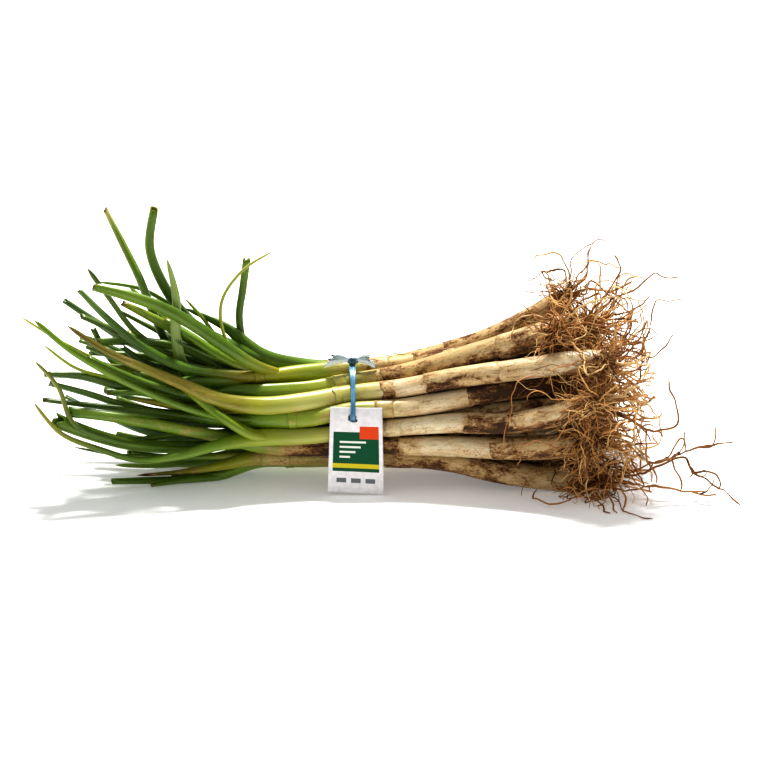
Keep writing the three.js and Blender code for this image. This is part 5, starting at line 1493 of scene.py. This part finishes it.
def tie():
    """The ribbon round the bundle, and its knot on top with two fanned ends"""
    surface = Surface()
    turn = np.arange(180) * 2.0
    x0 = to_x(WAIST_U)
    y, z = on_ring(turn, ribbon_radius(turn))
    middles = np.stack([x0 + 0.7 * np.sin(np.radians(turn * 3)) * np.sin(np.radians(turn)), y, z], -1)
    out_y, out_z = on_ring(turn, 1.0)
    outward = np.stack([np.zeros_like(turn), out_y, out_z - WAIST_Z], -1)
    width = RIBBON_WIDTH * (0.82 + 0.12 * np.cos(np.radians(turn * 5)) + 0.06 * np.cos(np.radians(turn * 11)))
    across = np.broadcast_to([1.0, 0, 0], middles.shape)
    add_strip(surface, middles, width, 0.5, across, outward, linear(58, 128, 168), 0.35, 63, loop=True)
    ky, kz = on_ring(KNOT_TURN, BUNDLE_R + GAP + 3.2)
    for k, (dx, size, flat) in enumerate(((0, 3.2, 1.0), (-1.8, 2.5, 1.2), (1.9, 2.6, 0.9))):
        theta = np.arange(16) * 2 * math.pi / 16
        phi = (np.arange(9) + 0.5) * math.pi / 9
        ball = np.stack([np.repeat(np.cos(phi)[:, None], 16, 1) * 1.25, np.sin(phi)[:, None] * np.cos(theta) * flat,
                         np.sin(phi)[:, None] * np.sin(theta)], -1)
        crease = 1 + 0.13 * np.cos(3 * theta + k)[None] * np.sin(phi)[:, None]
        rings = (np.array([x0 + dx, ky, kz]) + ball * size * crease[..., None])[::-1]
        surface.add_tube(rings, np.concatenate([rings, np.broadcast_to(linear(54, 78, 92), rings.shape)], -1))
    for sign, reach, half in ((-1, 21, 6.4), (1, 16, 5.4)):
        for k in range(3):
            t = np.linspace(0, 1, 24)
            lift = (k - 1) * 3.4
            line = np.stack([x0 + sign * (2 + reach * (1 - 0.14 * k) * t), ky - 3.5 * t + 0.8 * (k - 1),
                             kz + 1.0 * t + lift * t + 1.4 * np.sin(math.pi * t)], -1)
            spread = 1.6 + (half - 1.6) * t ** 0.7
            lean = unit(np.array([0, -0.3, 1.0]))
            up = np.broadcast_to(lean, line.shape)
            out = np.broadcast_to(np.cross([sign * 1.0, 0, 0], lean), line.shape)
            shade = linear(206, 218, 218) if k == 1 else linear(236, 240, 238)
            add_strip(surface, line, spread, 0.25, up, out, shade, 0.2 + 0.8 * t, 70 + k + 5 * (sign > 0), torn=3.0)
    return surface.build("ribbon_tie", [("skin", 3), ("tint", 3)], ribbon_plastic, "tie", "tie")


CARD_COLS, CARD_ROWS = 47, 150


def card():
    """The card tag, a little curled, with the torn hole that the ribbon passes through"""
    z = np.linspace(CARD_BOTTOM, CARD_TOP, CARD_ROWS)
    s = np.linspace(-CARD_WIDTH / 2, CARD_WIDTH / 2, CARD_COLS)
    knots_z, knots_y = zip(*CARD_BEND)
    bend = np.convolve(np.pad(np.interp(z, knots_z, knots_y), 4, "edge"), np.ones(9) / 9, "valid")
    across = s[None] + 0 * z[:, None]
    curl = 0.9 * (np.abs(s[None]) / 23) ** 3 * np.clip((z[:, None] - 40) / 36, -0.4, 1)
    y = bend[:, None] + curl
    hole_x, hole_z = to_x(WAIST_U) - CARD_X, (HOLE_TOP + HOLE_BOTTOM) / 2
    angle = np.arctan2(z[:, None] - hole_z, across - hole_x)
    torn = 1 + 0.12 * round_wander(angle, 77, 7)
    ratio = ((np.abs(across - hole_x) / (HOLE_WIDTH / 2)) ** 3 + (np.abs(z[:, None] - hole_z) / ((HOLE_TOP - HOLE_BOTTOM) / 2)) ** 3)
    inside = ratio ** (1 / 3) < torn
    hang = (z[:, None] - CARD_BOTTOM) / (CARD_TOP - CARD_BOTTOM)
    level = np.maximum(z[:, None] - across * (0.06 - 0.045 * hang), 0.4)
    front = np.stack([CARD_X + across * (1.045 - 0.08 * hang) - 0.5 * (1 - hang), y - 0.25, level], -1)
    back = front + [0, 0.5, 0]
    keep = ~(inside[:-1, :-1] & inside[1:, :-1] & inside[:-1, 1:] & inside[1:, 1:])
    ids = np.arange(CARD_ROWS * CARD_COLS).reshape(CARD_ROWS, CARD_COLS)
    other = ids + ids.size
    quads = []
    for r, c in np.argwhere(keep):
        quads.append([ids[r, c], ids[r, c + 1], ids[r + 1, c + 1], ids[r + 1, c]])
        quads.append([other[r, c], other[r + 1, c], other[r + 1, c + 1], other[r, c + 1]])
        for dr, dc, a, b in ((-1, 0, (r, c), (r, c + 1)), (1, 0, (r + 1, c + 1), (r + 1, c)),
                             (0, -1, (r + 1, c), (r, c)), (0, 1, (r, c + 1), (r + 1, c + 1))):
            rr, cc = r + dr, c + dc
            if not (0 <= rr < CARD_ROWS - 1 and 0 <= cc < CARD_COLS - 1) or not keep[rr, cc]:
                quads.append([ids[b], ids[a], other[a], other[b]])
    quads = np.array(quads)
    used, quads = np.unique(quads, return_inverse=True)
    place = np.stack([across, 0 * across, np.repeat(z[:, None], CARD_COLS, 1)], -1).reshape(-1, 3)
    facing = np.repeat([1.0, 0.0], ids.size)[:, None]
    surface = Surface()
    surface.points.append(np.concatenate([front.reshape(-1, 3), back.reshape(-1, 3)])[used])
    surface.quads.append(quads.reshape(-1, 4))
    surface.values.append(np.concatenate([np.concatenate([place, place]), facing], -1)[used])
    return surface.build("card_tag", [("place", 3), ("front", 1)], card_stock, "tag", "tag")


tie()
card()


def floor():
    mesh = bpy.data.meshes.new("floor")
    reach = 6.0
    mesh.from_pydata([(-reach, -reach, 0), (reach, -reach, 0), (reach, reach, 0), (-reach, reach, 0)], [], [(0, 1, 2, 3)])
    plane = bpy.data.objects.new("floor", mesh)
    bpy.context.scene.collection.objects.link(plane)
    n = Nodes("floor_white")
    n.set(Base_Color=(0.85, 0.85, 0.85), Roughness=0.9, Specular_IOR_Level=0.1)
    n.set(Emission_Color=(1, 1, 1), Emission_Strength=0.16)
    mesh.materials.append(n.material)
    plane.location.z = -0.0002


def area_light(name, place, target, size, power, colour=(1, 1, 1)):
    lamp = bpy.data.lights.new(name, "AREA")
    lamp.shape = "DISK"
    lamp.size = size
    lamp.energy = power
    lamp.color = colour
    light = bpy.data.objects.new(name, lamp)
    bpy.context.scene.collection.objects.link(light)
    light.location = place
    light.rotation_euler = (Vector(target) - Vector(place)).to_track_quat("-Z", "Y").to_euler()


def studio():
    world = bpy.data.worlds.new("studio")
    world.use_nodes = True
    world.node_tree.nodes["Background"].inputs["Color"].default_value = (1, 1, 1, 1)
    world.node_tree.nodes["Background"].inputs["Strength"].default_value = 0.44
    bpy.context.scene.world = world
    area_light("key", (0.0, 0.55, 1.6), (0, 0, 0.05), 0.2, 38, (1, 0.98, 0.95))
    bpy.context.scene.view_settings.view_transform = "Standard"
    bpy.context.scene.view_settings.look = "High Contrast"


PHOTO_MM = 767 * UNIT
CAMERA_FAR = 8.0


def camera():
    """Looks at the bunch as the photograph does: level with it, tilted down, from far off with a long lens"""
    data = bpy.data.cameras.new("camera")
    data.sensor_width = 36
    data.lens = 36 * CAMERA_FAR / (PHOTO_MM * MM)
    data.clip_end = 100
    eye = bpy.data.objects.new("camera", data)
    bpy.context.scene.collection.objects.link(eye)
    up = Vector((0, math.sin(TILT), math.cos(TILT)))
    back = Vector((0, -math.cos(TILT), math.sin(TILT)))
    centre = 767 / 2
    anchor = Vector(SHIFT) * MM + Vector((to_x(centre) * MM, 0, 0)) + up * ((FLOOR_V - centre) * UNIT * MM)
    eye.location = anchor + back * CAMERA_FAR
    eye.rotation_euler = (-back).to_track_quat("-Z", "Y").to_euler()
    bpy.context.scene.camera = eye


floor()
studio()
camera()
